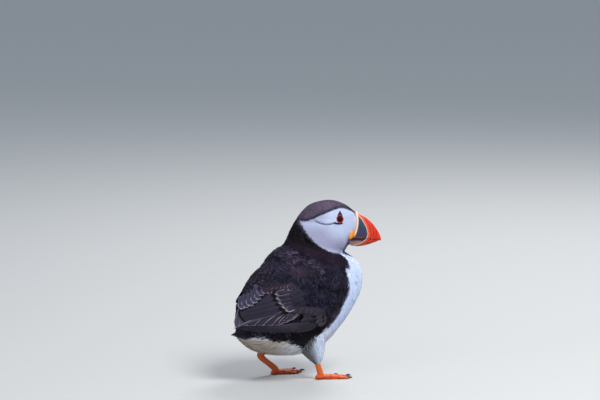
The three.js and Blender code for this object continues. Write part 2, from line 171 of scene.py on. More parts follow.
def turnHead(points, s):
    # turned about the neck's upright line by headTurn times an S curve along the neck
    share = ease(body["turnStart"], body["turnEnd"], s)
    return turnAbout(points, body["neckAxis"], np.radians(body["headTurn"]) * share)


def gridNormals(grid):
    # the cross product of the steps round and along the grid, outwards
    return unit(np.cross(np.roll(grid, -1, 1) - np.roll(grid, 1, 1), np.gradient(grid, axis=0)))


def soften(rows):
    # each inner row moves to a quarter, a half and a quarter of itself and its neighbours
    rows[1:-1] = (rows[:-2] + 2 * rows[1:-1] + rows[2:]) / 4


def softenRing(rows):
    # a quarter of each neighbour and half of itself, round a closed line
    return (np.roll(rows, 1, 0) + 2 * rows + np.roll(rows, -1, 0)) / 4


def blurGrid(grid, times):
    # each value moves to the mean of itself and its neighbours, ring by ring
    for _ in range(times):
        grid = (grid * 2 + np.roll(grid, 1, 1) + np.roll(grid, -1, 1)) / 4
        grid[1:-1] = (grid[1:-1] * 2 + grid[:-2] + grid[2:]) / 4
    return grid


def fourPoints(grid, i, j, k, t, w):
    # the mean of four grid points, weighted by the shares t between rows and w between columns
    if grid.ndim == 3:
        t = t[..., None]
        w = w[..., None]
    return ((grid[i, j] * (1 - t) + grid[i + 1, j] * t) * (1 - w)
            + (grid[i, k] * (1 - t) + grid[i + 1, k] * t) * w)


def sampleGrid(grid, u, v):
    # between the four nearest grid points; u runs 0 to 1 along the rows and past them in a straight
    # line, v runs 0 to 1 round them
    rows, around = grid.shape[:2]
    u = np.asarray(u) * (rows - 1)
    v = (np.asarray(v) % 1) * around
    i = np.clip(np.floor(u).astype(int), 0, rows - 2)
    j = np.floor(v).astype(int) % around
    return fourPoints(grid, i, j, (j + 1) % around, u - i, v - np.floor(v))


def lineDistance(x, z, line, closed=False):
    # the distance to a line in the side view; to a closed one it is positive inside, where a level
    # ray crosses it an odd number of times
    start = np.asarray(line, float)
    end = np.roll(start, -1, 0)
    if not closed:
        start = start[:-1]
        end = end[:-1]
    px = np.asarray(x, float).ravel()[:, None]
    pz = np.asarray(z, float).ravel()[:, None]
    edgeX, edgeZ = (end - start).T
    share = ((px - start[:, 0]) * edgeX + (pz - start[:, 1]) * edgeZ) / (edgeX ** 2 + edgeZ ** 2)
    share = np.clip(share, 0, 1)
    gap = np.hypot(px - start[:, 0] - share * edgeX, pz - start[:, 1] - share * edgeZ).min(1)
    if closed:
        crosses = ((start[:, 1] > pz) != (end[:, 1] > pz)) & (
            px < start[:, 0] + edgeX * (pz - start[:, 1]) / np.where(edgeZ == 0, 1e-9, edgeZ))
        gap = np.where(crosses.sum(1) % 2 == 1, gap, -gap)
    return gap.reshape(np.shape(x))


def outlineDistance(x, z, outline):
    # how far each point lies from a closed outline's line
    return lineDistance(x, z, outline, True)


# where things lie on the bird, in its side view
wing = {
    "sharedEdge": [[14, 58], [2, 68], [-18, 78], [-33, 79], [-39, 86], [-43, 93.5], [-50, 92.5], [-58, 86.5],
                   [-69, 77]],
    "armEdge": [[-71, 80], [-66, 89], [-56, 101], [-42, 113], [-24, 121], [-4, 124], [14, 123],
                [29, 119], [36.5, 108], [39, 99], [38.5, 90], [35, 82], [29, 75], [21, 67]],
    "rise": 4.6,              # how far the folded arm swells the skin
    "softEdge": 11,           # over this distance
    "rearRise": 4.0,          # how much more at its rear corner
    "axis": [-0.965, 0, -0.26],   # the way its feathers point
    "tuckFrom": -45,          # the far wing is folded closer: x beyond this is drawn in by tuck
    "tuck": 0.60,
}
wing["outline"] = wing["sharedEdge"] + wing["armEdge"]

eye = {
    "x": 42.8,
    "z": 167.3,
    "radius": 4.2,            # of the ball
    "opening": 2.75,          # half width of what shows
    "ringRadius": 3.35,
    "ringThick": 0.5,
}

plates = {
    # outlines round the eye: x and z from its middle
    "upper": [[-3.0, 2.8], [0.0, 3.6], [3.0, 2.8], [2.2, 4.6], [1.1, 6.4], [0.3, 8.1], [-0.4, 8.1],
              [-1.2, 6.4], [-2.3, 4.6]],
    "lower": [[-5.9, -3.0], [-3.6, -3.3], [0.0, -4.0], [2.6, -3.4], [3.2, -4.6], [0.0, -5.5],
              [-3.2, -5.1], [-6.0, -4.1]],
}
rosette = {
    "x": 55.6, "z": 150.2, "along": 3.1, "high": 5.8, "across": 1.9, "lean": 0.8, "folds": 7,
    "tint": ink(228, 146, 12), "foldTint": ink(184, 92, 6),
}

# the crease behind the eye
crease = [[37.2, 163.2], [34.4, 162.3], [31, 161.8], [26.8, 162.0], [21.8, 163.2], [17.5, 165.0]]
facePatch = [[1.2, 164.6], [8, 164.9], [13.6, 166.6], [20.6, 169.6], [30.4, 173.9], [38.8, 176.9],
             [45, 177.6], [51.8, 175.1], [57.6, 171.2], [65, 160], [62, 147], [55.5, 144.6],
             [51.0, 140.2], [48.2, 134.2], [44.5, 131.6], [38, 131.9], [31, 133.9], [23.7, 138],
             [16.9, 144.1], [10.5, 150.6], [5.5, 157.8]]
gapeStripe = [[53.6, 146.5], [50.2, 140.4], [46.8, 134.0]]     # the dusky line from the gape to the throat


# soft-edged patches on the dark upper side, mostly painted sheen in lighter brown and lilac, one darker: x,
# z, reach along, reach up
drifts = [
    [-15, 116, 14, 4.5, ink(50, 39, 48), 0.75],
    [-41, 102, 10, 6, ink(43, 31, 39), 0.75],
    [-60, 101, 9, 14, ink(37, 34, 51), 0.7],
    [22, 98, 8, 3, ink(37, 30, 37), 0.6],
    [16, 72, 13, 4, ink(37, 25, 34), 0.75],
    [-22, 79.5, 9, 3, ink(46, 36, 40), 0.7],
    [4, 86, 16, 6, ink(12, 15, 28), 0.6],
    [-34, 122, 12, 5, ink(39, 36, 53), 0.7],
    [-2, 124, 15, 4, ink(30, 27, 40), 0.6],
    [28, 112, 6, 8, ink(22, 22, 35), 0.6],
]
# shadowed gaps between the feather groups: their width and their line
gaps = [
    [1.9, [[4, 101.5], [10, 98.5], [18, 96.3], [26, 93.6], [36, 93.8]]],
    [1.6, [[-13, 75.5], [-8, 73.5], [-4.5, 69], [-4.5, 61]]],
    [0.9, [[-52, 116], [-50.8, 110], [-50, 103]]],
    [1.4, [[13, 70.5], [18.5, 63]]],
]


# the skin's heights and the bird's markings
def markingsNoise(points, scale):
    # three crossed waves, between -1 and 1, that make an edge ragged
    x, y, z = np.moveaxis(points / scale, -1, 0)
    return (np.sin(x * 2.1 + 1.3 * np.sin(z * 1.7 + y)) + np.sin(z * 2.6 + 1.1 * np.sin(y * 2.3 + x * 0.7))
            + np.sin(y * 2.9 + 1.4 * np.sin(x * 1.9 - z))) / 3


# on the sides, how far round from the back (degrees) the dark upper side reaches, by section
whiteEdge = {
    "s": [0.0, 0.9, 1.95, 2.62, 3.53, 4.0, 4.3, 4.6, 5.05, 5.43, 5.85, 6.43, 7.15, 7.83, 8.10, 8.65, 9.22,
          12],
    "turn": [95, 99, 98, 109, 117, 131, 145, 138, 128, 126, 128.5, 127.5, 123, 120, 115, 111, 112, 112],
    "collarLow": 9.25,        # section of the collar's lower edge on the sides
    "collarRise": 2.9,        # how many sections higher it lies at the front
}

palette = {
    "crown": ink(82, 70, 88),
    "crownRim": ink(26, 20, 31),
    "nape": ink(4, 3, 6),
    "collar": ink(34, 24, 36),
    "mantle": ink(24, 21, 35),
    "mantleStreak": ink(78, 68, 86),
    "wingCovert": ink(20, 19, 33),
    "covertStreak": ink(50, 48, 66),
    "face": ink(188, 197, 224),
    "cheek": ink(150, 148, 176),
    "breast": ink(196, 210, 240),
    "belly": ink(222, 222, 230),
    "vent": ink(168, 152, 138),
    "flank": ink(13, 11, 16),
    "dusky": ink(104, 90, 138),
    "crease": ink(40, 38, 58),
    "thigh": ink(196, 207, 228),
    # the brown of painted shade on the thigh's back
    "thighBack": ink(66, 56, 57),
}


def painted(colour, *layers):
    # each layer is a colour and its share, laid over what is there
    for other, share in layers:
        colour = colour * (1 - share[..., None]) + other * share[..., None]
    return colour


def birdColours(s, turn, points):
    # the markings: each patch of colour is laid over the last by a soft-edged mask. s is the section,
    # turn the degrees round from the back, points the place with the head looking ahead
    x, y, z = np.moveaxis(points, -1, 0)
    ragged = markingsNoise(points, 2.2)
    broad = markingsNoise(points, 9.0)
    streaks = markingsNoise(points * [0.45, 1, 1.3], 3.2)

    def uneven(tint, broadShare, raggedShare):
        # lighter and darker in broad patches and along ragged lines
        return tint * (1 + broadShare * broad + raggedShare * ragged)[..., None]

    arm = ease(-2, 6, outlineDistance(x, z, wing["outline"])) * ease(10, 20, np.abs(y)) * (s < 10)
    covert = painted(uneven(palette["wingCovert"], 0, 0.2),
                     (palette["covertStreak"], 0.5 * ease(0.2, 0.8, streaks)))
    colour = painted(uneven(palette["mantle"], 0.22, 0.16),
                     (palette["mantleStreak"], 0.6 * ease(0.2, 0.8, streaks)),
                     (palette["nape"], 0.6 * ease(-0.2, -0.7, streaks)),
                     (covert, arm * ease(118, 108, z + 3 * streaks)))
    outer = ease(8, 16, np.abs(y)) * (s < 9.5) * (turn < 140)
    # painted sheen: the drifts' lighter brown and lilac patches laid over the upper side
    for atX, atZ, along, up, tone, share in drifts:
        gap = np.hypot((x - atX) / along, (z - atZ) / up)
        share = share * ease(1.25, 0.45, gap + 0.25 * ragged) * outer
        colour = painted(colour, (uneven(tone, 0, 0.3), share))
    # painted shadow: the gaps between the feather groups are laid in near black
    for reach, line in gaps:
        share = 0.95 * ease(1.3, 0.7, lineDistance(x, z, line) / reach) * outer
        colour = painted(colour, (palette["nape"] * 0.6, share))
    low = ease(-3, 3, 62 - z + 2 * ragged) * (turn > 70) * (s < 6.5)
    colour = painted(colour, (palette["flank"], low * (1 - arm)))
    # the pale underside
    edge = np.interp(s, whiteEdge["s"], whiteEdge["turn"])
    front = ease(115, 146, turn) * (1 - 0.4 * ease(160, 174, turn))
    collarLow = whiteEdge["collarLow"] + whiteEdge["collarRise"] * front
    under = ease(-1.3, 1.3, (turn - edge) * 0.6 + 0.7 * ragged)
    under = under * ease(0.16, -0.16, s - collarLow + 0.05 * ragged)
    # the vent's brownish grey under the rear of the body is partly stain and partly painted shade
    pale = painted(palette["breast"], (palette["belly"], ease(62, 40, z)),
                   (palette["vent"], ease(-14, -46, x) * ease(52, 44, z)))
    # the collar, the black nape and the grey cap
    collar = ease(-0.2, 0.3, s - collarLow) * ease(60, 100, turn) + ease(8.0, 9.6, s) * ease(110, 60, turn)
    cap = ease(12.7, 13.6, s + 0.12 * ragged - 0.3 * ease(30, 0, turn)) * ease(142, 158, z)
    patch = outlineDistance(x, z, facePatch) + 0.35 * ragged
    colour = painted(colour, (uneven(pale, 0.05, 0), under),
                     (uneven(palette["collar"], 0.25, 0), np.clip(collar, 0, 1)),
                     (palette["nape"], ease(10.2, 11.6, s) * ease(150, 90, turn)),
                     (uneven(palette["crown"], 0.2, 0.14), cap),
                     (palette["crownRim"], cap * ease(-3.4, -0.6, patch) * ease(-12, 10, x)))
    # the white face, greyer on the lower cheek and behind the eye, with its crease and the dusky line by the
    # gape; the grey and the crease's dark line are partly their own colour and partly painted shade
    grey = ease(6, 26, np.hypot(x - 47, (z - 160) * 1.15)) * ease(168, 152, z) * 0.85
    behindEye = ease(8, 22, np.hypot(x - 46, z - 166)) * ease(-2, 3, z - 163) * ease(36, 20, x)
    grey = np.maximum(grey, 0.75 * behindEye)
    face = painted(palette["face"], (palette["cheek"], np.clip(grey, 0, 1)),
                   (palette["crease"], 0.75 * ease(0.95, 0.35, lineDistance(x, z, crease)) * ease(12, 18, x)),
                   (palette["dusky"], 0.9 * ease(1.9, 1.0, lineDistance(x, z, gapeStripe))))
    return painted(colour, (face, ease(-0.5, 0.5, patch) * (s > 10.5)))


def rearLobe(x, z):
    # the folded wing's rear corner: rise exp(-(dx/9)^2 - (dz/8)^2)
    return wing["rearRise"] * np.exp(-((x + 58) / 9) ** 2 - ((z - 93) / 8) ** 2)


def coatDepth(s, turn):
    # how deep the skin lies under the outline of the feathers, deepest on the breast
    return np.interp(s, [0, 3, 8, 10, 12, 14, 20], [1.4, 1.9, 1.9, 1.7, 1.4, 0.8, 0.55]) + (
        0.6 * ease(120, 160, turn) * ease(9, 6, s))


def makeBodyForm():
    # the sections' s is spaced by path length, closer on the head, and each ring by its own length
    fine = np.linspace(0, len(body["sections"]) - 1, 2001)
    speed = 0
    for angle in (np.pi / 2, 0.2, -0.6):
        line = sectionPoint(body["sections"], fine, np.full_like(fine, angle))
        speed = speed + np.linalg.norm(np.gradient(line, axis=0), axis=1)
    path = np.cumsum(speed * (1 + 1.1 * ease(11, 13.5, fine)))
    s = np.interp(np.linspace(path[0], path[-1], body["rows"]), path, fine)
    sweep = np.linspace(-np.pi / 2, 1.5 * np.pi, 1441)
    rings = sectionPoint(body["sections"], s[:, None], sweep[None, :])
    steps = np.linalg.norm(np.diff(rings, axis=1), axis=2)
    length = np.concatenate([np.zeros((len(s), 1)), np.cumsum(steps, 1)], 1)
    share = np.linspace(0, 1, body["around"] + 1)[:-1]
    angle = np.stack([np.interp(share * row[-1], row, sweep) for row in length])
    s = np.repeat(s[:, None], body["around"], 1)
    ahead = faceBulge(sectionPoint(body["sections"], s, angle), ease(17.4, 20, s))
    turn = np.abs(np.degrees(angle) - 90)
    x, y, z = np.moveaxis(ahead, -1, 0)
    # heights over the sections: the coat's depth off, the folded arms, the eye's socket and the creases
    height = -coatDepth(s, turn)
    arm = ease(0, wing["softEdge"], outlineDistance(x, z, wing["outline"]))
    arm = arm * ease(7, 17, np.abs(y)) * (s < 10)
    height += wing["rise"] * arm
    height += rearLobe(x, z) * ease(4, 13, np.abs(y)) * (s < 8)
    for reach, line in gaps:
        height -= relief["gap"] * bell(lineDistance(x, z, line), reach) * (np.abs(y) > 10) * (s < 9.5)
    fromEye = np.hypot(x - eye["x"], z - eye["z"]) + 50 * (s < 13)
    height -= relief["socket"] * ease(eye["ringRadius"] + 0.3, eye["opening"] - 0.6, fromEye)
    height += relief["lid"] * bell(fromEye - relief["lidAt"], 1.0)
    height += relief["brow"] * bell(fromEye - relief["browAt"], 4.0) * ease(-1, 3, z - eye["z"]) * (s > 13)
    height -= relief["crease"] * bell(lineDistance(x, z, crease), 0.8) * (s > 12)
    height += relief["creaseFold"] * bell(lineDistance(x, z - relief["foldAbove"], crease), 2.0) * (s > 12)
    cheekX, cheekZ = relief["cheekAt"]
    height += relief["cheek"] * bell(np.hypot(x - cheekX, z - cheekZ), relief["cheekReach"]) * (s > 11)
    ahead = ahead + unit(blurGrid(gridNormals(ahead), 6)) * height[..., None]
    points = turnHead(ahead, s)
    return {"points": points, "ahead": ahead, "s": s, "turn": turn, "tint": birdColours(s, turn, ahead),
            "normals": unit(blurGrid(gridNormals(points), 2))}


# making meshes from arrays
def makeMesh(name, points, faceSets, maps=None, colours=None):
    # points in the bird's millimetres; faceSets are arrays of corner numbers, one array for each
    # number of corners; maps are UV values for each point, or for each corner where there are as many
    corners = np.concatenate([faces.ravel() for faces in faceSets]).astype(np.int32)
    sizes = np.concatenate([np.full(len(faces), faces.shape[1]) for faces in faceSets])
    starts = np.concatenate([[0], np.cumsum(sizes)[:-1]]).astype(np.int32)
    mesh = bpy.data.meshes.new(name)
    mesh.vertices.add(len(points))
    placed = (points.reshape(-1, 3) + [body["frameShift"], 0, 0]) * millimetre
    mesh.vertices.foreach_set("co", placed.astype(np.float32).ravel())
    mesh.loops.add(len(corners))
    mesh.loops.foreach_set("vertex_index", corners)
    mesh.polygons.add(len(sizes))
    mesh.polygons.foreach_set("loop_start", starts)
    for mapName, values in (maps or {}).items():
        layer = mesh.uv_layers.new(name=mapName)
        values = values.reshape(-1, 2)
        perCorner = values if len(values) == len(corners) and len(values) != len(points) else values[corners]
        layer.uv.foreach_set("vector", perCorner.astype(np.float32).ravel())
    for layerName, values in (colours or {}).items():
        values = values.reshape(len(points), -1)
        if values.shape[1] == 3:
            values = np.concatenate([values, np.ones((len(points), 1))], 1)
        layer = mesh.color_attributes.new(layerName, "FLOAT_COLOR", "POINT")
        layer.data.foreach_set("color", values.astype(np.float32).ravel())
    mesh.update(calc_edges=True)
    mesh.shade_smooth()
    return mesh


def addObject(name, data):
    # a new object at the origin, in the scene's collection
    made = bpy.data.objects.new(name, data)
    bpy.context.scene.collection.objects.link(made)
    return made


def addPiece(name, mesh, material, slotName, replaced=()):
    # one visible piece: its mesh, material and the CAD nodes it stands for; slotName is not used
    piece = addObject(name, mesh)
    mesh.materials.append(material)
    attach(piece, "root")
    if replaced:
        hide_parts(*replaced)
    return piece


def tubeFaces(rows, around):
    # quads of a grid that closes on itself round each row
    i, j = np.meshgrid(np.arange(rows - 1), np.arange(around), indexing="ij")
    k = (j + 1) % around
    quads = np.stack([i * around + j, i * around + k, (i + 1) * around + k, (i + 1) * around + j], -1)
    return quads.reshape(-1, 4)


def tubeMap(rows, around, low, high):
    # the tube unrolled into the rectangle from low to high, a value for each corner of its faces
    i, j = np.meshgrid(np.arange(rows - 1), np.arange(around), indexing="ij")
    u = np.stack([j, j + 1, j + 1, j], -1) / around
    v = np.stack([i, i, i + 1, i + 1], -1) / (rows - 1)
    quads = np.stack([u, v], -1).reshape(-1, 2)
    j = np.arange(around)
    ends = np.concatenate([np.stack([np.stack([j + 0.5, j + 1, j], -1) / around, np.zeros((around, 3))], -1),
                           np.stack([np.stack([j + 0.5, j, j + 1], -1) / around, np.ones((around, 3))], -1)])
    both = np.concatenate([quads, ends.reshape(-1, 2)])
    return np.asarray(low) + both * (np.asarray(high) - np.asarray(low))


def closedMesh(name, grid, tint, low=(0, 0), high=(1, 1)):
    # the grid with a middle point at each end and the fans that close the ends
    rows, around = grid.shape[:2]
    points, colours = (np.concatenate([part.reshape(-1, 3), part[0].mean(0)[None], part[-1].mean(0)[None]])
                       for part in (grid, tint))
    j = np.arange(around)
    k = (j + 1) % around
    last = (rows - 1) * around
    fans = np.concatenate([stack(rows * around, k, j), stack(rows * around + 1, last + j, last + k)])
    return makeMesh(name, points, [tubeFaces(rows, around), fans],
                    {"OFBake": tubeMap(rows, around, low, high)}, {"tint": colours})


def closedPiece(name, grid, colour, finish, slotName, replaced, turned=True):
    # a tube-like grid becomes a closed piece that faces outwards, turned with the head
    if (gridNormals(grid) * (grid - grid.reshape(-1, 3).mean(0))).sum() < 0:
        grid = grid[:, ::-1]
        colour = colour[:, ::-1]
    if turned:
        grid = turnHead(grid, headSection)
    addPiece(name, closedMesh(name, grid, colour), finishes[finish], slotName, [replaced])


def ringGrid(first, last, rows, around, start=0.0):
    # values from first to last down the rows, and angles round each row
    return np.meshgrid(np.linspace(first, last, rows),
                       np.linspace(start, start + 2 * np.pi, around, endpoint=False), indexing="ij")


# materials
def setInput(tree, made, key, value):
    # a socket is linked, anything else becomes the input's own value
    if isinstance(value, bpy.types.NodeSocket):
        tree.links.new(value, made.inputs[key])
    else:
        made.inputs[key].default_value = value


def addNode(tree, kind, values=None, **settings):
    # a shader node with its settings and its inputs' values or links
    made = tree.nodes.new(kind)
    for key, value in settings.items():
        setattr(made, key, value)
    for key, value in (values or {}).items():
        setInput(tree, made, key, value)
    return made


def mathIn(tree):
    # work(operation, values) adds a Math node and gives its output
    return lambda operation, *values: addNode(
        tree, "ShaderNodeMath", dict(enumerate(values)), operation=operation).outputs[0]


def mixColour(tree, share, first, second, blend="MIX"):
    # the first colour towards the second by the share
    return addNode(tree, "ShaderNodeMix", {0: share, 6: first, 7: second}, data_type="RGBA",
                   blend_type=blend).outputs[2]


def shaded(tree, colour, value):
    # a colour times a value
    shade = addNode(tree, "ShaderNodeCombineXYZ", {0: value, 1: value, 2: value}).outputs[0]
    return mixColour(tree, 1.0, colour, shade, "MULTIPLY")


def smoothMask(tree, value, low, high):
    # 0 at low, 1 at high, an S curve between
    return addNode(tree, "ShaderNodeMapRange", {0: value, 1: low, 2: high, 3: 0.0, 4: 1.0},
                   interpolation_type="SMOOTHSTEP").outputs[0]


def newGroup(name, floats, colours):
    # a group with these inputs and the outputs Color and Height
    tree = bpy.data.node_groups.new(name, "ShaderNodeTree")
    for kind, inputs in (("Color", colours), ("Float", floats)):
        for label, value in inputs.items():
            given = tree.interface.new_socket(name=label, in_out="INPUT", socket_type="NodeSocket" + kind)
            given.default_value = value
    for kind, label in (("Color", "Color"), ("Float", "Height")):
        tree.interface.new_socket(name=label, in_out="OUTPUT", socket_type="NodeSocket" + kind)
    return tree, tree.nodes.new("NodeGroupInput").outputs, tree.nodes.new("NodeGroupOutput").inputs


def makeVaneGroup():
    # a feather's vane: barbs slanting from the shaft, a darker shaft and a paler fringe, from the
    # piece's own "vane" map (across, along)
    tree, given, result = newGroup(
        "featherVane",
        {"Edge Share": 0.0, "Barbs": 20.0, "Barb Shade": 0.2, "Shaft Shade": 0.3, "Edge Start": 0.8},
        {"Tint": (0.5, 0.5, 0.5, 1), "Edge Tint": (0.8, 0.8, 0.8, 1)})
    work = mathIn(tree)
    place = addNode(tree, "ShaderNodeUVMap", uv_map="vane").outputs[0]
    place = addNode(tree, "ShaderNodeSeparateXYZ", {0: place})
    side = work("MULTIPLY", work("ABSOLUTE", work("SUBTRACT", place.outputs[0], 0.5)), 2.0)
    along = place.outputs[1]
    slant = work("SUBTRACT", along, work("MULTIPLY", side, 0.22))
    wave = work("SINE", work("MULTIPLY", work("MULTIPLY", slant, given["Barbs"]), 6.2832))
    barbs = work("MULTIPLY_ADD", wave, 0.5, 0.5)
    tipMask = smoothMask(tree, along, given["Edge Start"], 0.985)
    rimMask = work("MULTIPLY", smoothMask(tree, side, 0.66, 0.98), smoothMask(tree, along, 0.12, 0.5))
    rim = work("MULTIPLY", work("MAXIMUM", tipMask, rimMask), given["Edge Share"])
    shaft = work("MULTIPLY", smoothMask(tree, side, 0.12, 0.03), given["Shaft Shade"])
    dark = work("SUBTRACT", 1.0, work("ADD", work("MULTIPLY", barbs, given["Barb Shade"]), shaft))
    base = shaded(tree, given["Tint"], dark)
    tree.links.new(mixColour(tree, rim, base, given["Edge Tint"]), result["Color"])
    tree.links.new(work("MULTIPLY_ADD", smoothMask(tree, side, 0.14, 0.0), 1.5, barbs), result["Height"])
    return tree


def makeGrainGroup():
    # fine grain in object space: a soft mottling of value and a height for bump
    tree, given, result = newGroup("surfaceGrain", {"Scale": 300.0, "Amount": 0.2},
                                   {"Tint": (0.5, 0.5, 0.5, 1)})
    work = mathIn(tree)
    place = addNode(tree, "ShaderNodeTexCoord").outputs["Object"]
    noise = addNode(tree, "ShaderNodeTexNoise", {"Vector": place, "Scale": given["Scale"], "Detail": 4.0})
    noise = noise.outputs[0]
    value = work("ADD", work("MULTIPLY", work("SUBTRACT", noise, 0.5), given["Amount"]), 1.0)
    tree.links.new(shaded(tree, given["Tint"], value), result["Color"])
    tree.links.new(noise, result["Height"])
    return tree


vaneGroup = makeVaneGroup()
grainGroup = makeGrainGroup()


def newMaterial(name, group, bump, settings, values):
    # a Principled surface coloured and raised by a group, whose constants sit on its own sockets. A
    # value that is text names a colour attribute, and "Edge Share" is in the fringe colour's alpha
    material = bpy.data.materials.new(name)
    material.use_nodes = True
    tree = material.node_tree
    shader = tree.nodes["Principled BSDF"]
    made = addNode(tree, "ShaderNodeGroup", node_tree=group)
    for key, value in values.items():
        if isinstance(value, str):
            colour = addNode(tree, "ShaderNodeAttribute", attribute_name=value)
            value = colour.outputs["Color"]
            if key == "Edge Tint":
                setInput(tree, made, "Edge Share", colour.outputs["Alpha"])
        setInput(tree, made, key, value)
    for key, value in settings.items():
        shader.inputs[key].default_value = value
    lift = addNode(tree, "ShaderNodeBump", {"Height": made.outputs["Height"], "Strength": bump[0],
                                            "Distance": bump[1]})
    tree.links.new(made.outputs["Color"], shader.inputs["Base Color"])
    tree.links.new(lift.outputs[0], shader.inputs["Normal"])
    return material


def plumageMaterial(name, barbs, barbShade, shaftShade, edgeStart, bump, settings):
    # a vane's barbs, shaft and fringe over its own colours
    return newMaterial(name, vaneGroup, bump, settings, {
        "Tint": "tint", "Edge Tint": "edgeTint", "Barbs": barbs, "Barb Shade": barbShade,
        "Shaft Shade": shaftShade, "Edge Start": edgeStart})


def tintedMaterial(name, scale, amount, bump, settings):
    # a fine grain over the mesh's own colours
    return newMaterial(name, grainGroup, bump, settings, {"Scale": scale, "Amount": amount, "Tint": "tint"})


softSheen = {"Roughness": 0.8, "Sheen Weight": 0.01, "Sheen Roughness": 0.5, "Specular IOR Level": 0.07}
# plumage: barbs along a vane, how dark they and the shaft are, where the fringe starts, and the
# bump's strength and distance; skin and horn: the grain's scale and amount, then the bump
finishes = {
    "skin": tintedMaterial("skinUnderCoat", 700, 0.2, (0.3, 0.0004), {"Roughness": 0.8}),
    "covert": plumageMaterial("covertPlumage", 26.0, 0.14, 0.25, 0.80, (0.3, 0.00018),
                              {"Roughness": 0.7, "Specular IOR Level": 0.15}),
    "coat": plumageMaterial("coatPlumage", 9.0, 0.10, 0.06, 0.72, (0.25, 0.00015), softSheen),
    "down": plumageMaterial("downPlumage", 5.0, 0.08, 0.0, 0.75, (0.2, 0.0001),
                            {"Roughness": 0.88, "Sheen Weight": 0.03, "Sheen Roughness": 0.6,
                             "Specular IOR Level": 0.1}),
    "quill": plumageMaterial("quillPlumage", 46.0, 0.16, 0.35, 0.93, (0.35, 0.0002),
                             {"Roughness": 0.62, "Specular IOR Level": 0.18}),
    "horn": tintedMaterial("billHorn", 900, 0.14, (0.12, 0.0002),
                           {"Roughness": 0.4, "Specular IOR Level": 0.22}),
    "cere": tintedMaterial("cereSkin", 2200, 0.3, (0.5, 0.0002), {"Roughness": 0.55}),
    "foot": tintedMaterial("footSkin", 1500, 0.25, (0.4, 0.0002),
                           {"Roughness": 0.5, "Specular IOR Level": 0.3}),
    "claw": tintedMaterial("clawHorn", 1800, 0.35, (0.3, 0.0001), {"Roughness": 0.35}),
    "eye": tintedMaterial("eyeBall", 1500, 0.15, (0.02, 0.0001),
                          {"Roughness": 0.05, "Specular IOR Level": 0.16}),
}


# camera, floor and light
view = {
    "azimuth": -25,
    "elevation": 8,
    "width": 624,             # of what the view takes in at the bird, in millimetres
    "above": 183.56,          # how high up its own upright the view's middle lies
    "lens": 200,
    "sensor": 36,
}
studio = {
    "floorRadius": 14000, "floorSides": 96, "floorTint": (0.47, 0.47, 0.46, 1),
    "sky": (0.74, 0.85, 1.0, 1), "skyPower": 0.58,
    # places as shares of the view's right and back and a height, in metres; then size, power, colour
    "keyLight": ((0.75, 0.9, 1.45), 0.9, 36, (1, 0.985, 0.97)),      # from above on the bill's side
    "fillLight": ((-1.3, 1.5, 0.7), 1.6, 9, (0.9, 0.94, 1)),         # broad, behind the camera
    "rimLight": ((0.5, -1.2, 1.5), 0.7, 16, (1, 0.98, 0.96)),        # from behind
}


def aim(thing, direction):
    # its own z axis along the direction
    thing.rotation_euler = direction.to_track_quat("Z", "Y").to_euler()


def makeStudio():
    # the camera on its circle round the bird, the floor, the world and the lamps
    azimuth = math.radians(view["azimuth"])
    elevation = math.radians(view["elevation"])
    back = Vector((math.sin(azimuth) * math.cos(elevation), -math.cos(azimuth) * math.cos(elevation),
                   math.sin(elevation)))
    right = Vector((math.cos(azimuth), math.sin(azimuth), 0))
    data = bpy.data.cameras.new("camera")
    data.lens = view["lens"]
    data.sensor_width = view["sensor"]
    data.clip_end = 60
    camera = addObject("camera", data)
    target = back.cross(right) * view["above"] * millimetre
    camera.location = target + back * (view["width"] * millimetre * view["lens"] / view["sensor"])
    aim(camera, back)
    bpy.context.scene.camera = camera

    sides = studio["floorSides"]
    angle = np.linspace(0, 2 * np.pi, sides, endpoint=False)
    rim = stack(np.cos(angle), np.sin(angle), 0) * studio["floorRadius"]
    step = np.arange(sides)
    mesh = makeMesh("floor", np.concatenate([rim, np.zeros((1, 3))]),
                    [stack(step, (step + 1) % sides, sides)])
    mesh.materials.append(newMaterial("floorPaint", grainGroup, (0.03, 0.0002), {"Roughness": 0.85},
                                      {"Scale": 60.0, "Amount": 0.03, "Tint": studio["floorTint"]}))
    addObject("floor", mesh)

    world = bpy.data.worlds.new("studio")
    world.use_nodes = True
    sky = world.node_tree.nodes["Background"]
    sky.inputs[0].default_value = studio["sky"]
    sky.inputs[1].default_value = studio["skyPower"]
    bpy.context.scene.world = world
    for name in ("keyLight", "fillLight", "rimLight"):
        (across, behind, height), size, power, colour = studio[name]
        lamp = bpy.data.lights.new(name, "AREA")
        lamp.shape = "DISK"
        lamp.size = size
        lamp.energy = power
        lamp.color = colour
        shining = addObject(name, lamp)
        shining.location = right * across + back * behind + Vector((0, 0, height))
        aim(shining, shining.location - Vector((0, 0, 0.1)))


bpy.context.scene.view_settings.view_transform = "Standard"
makeStudio()
print("camera, floor and light")


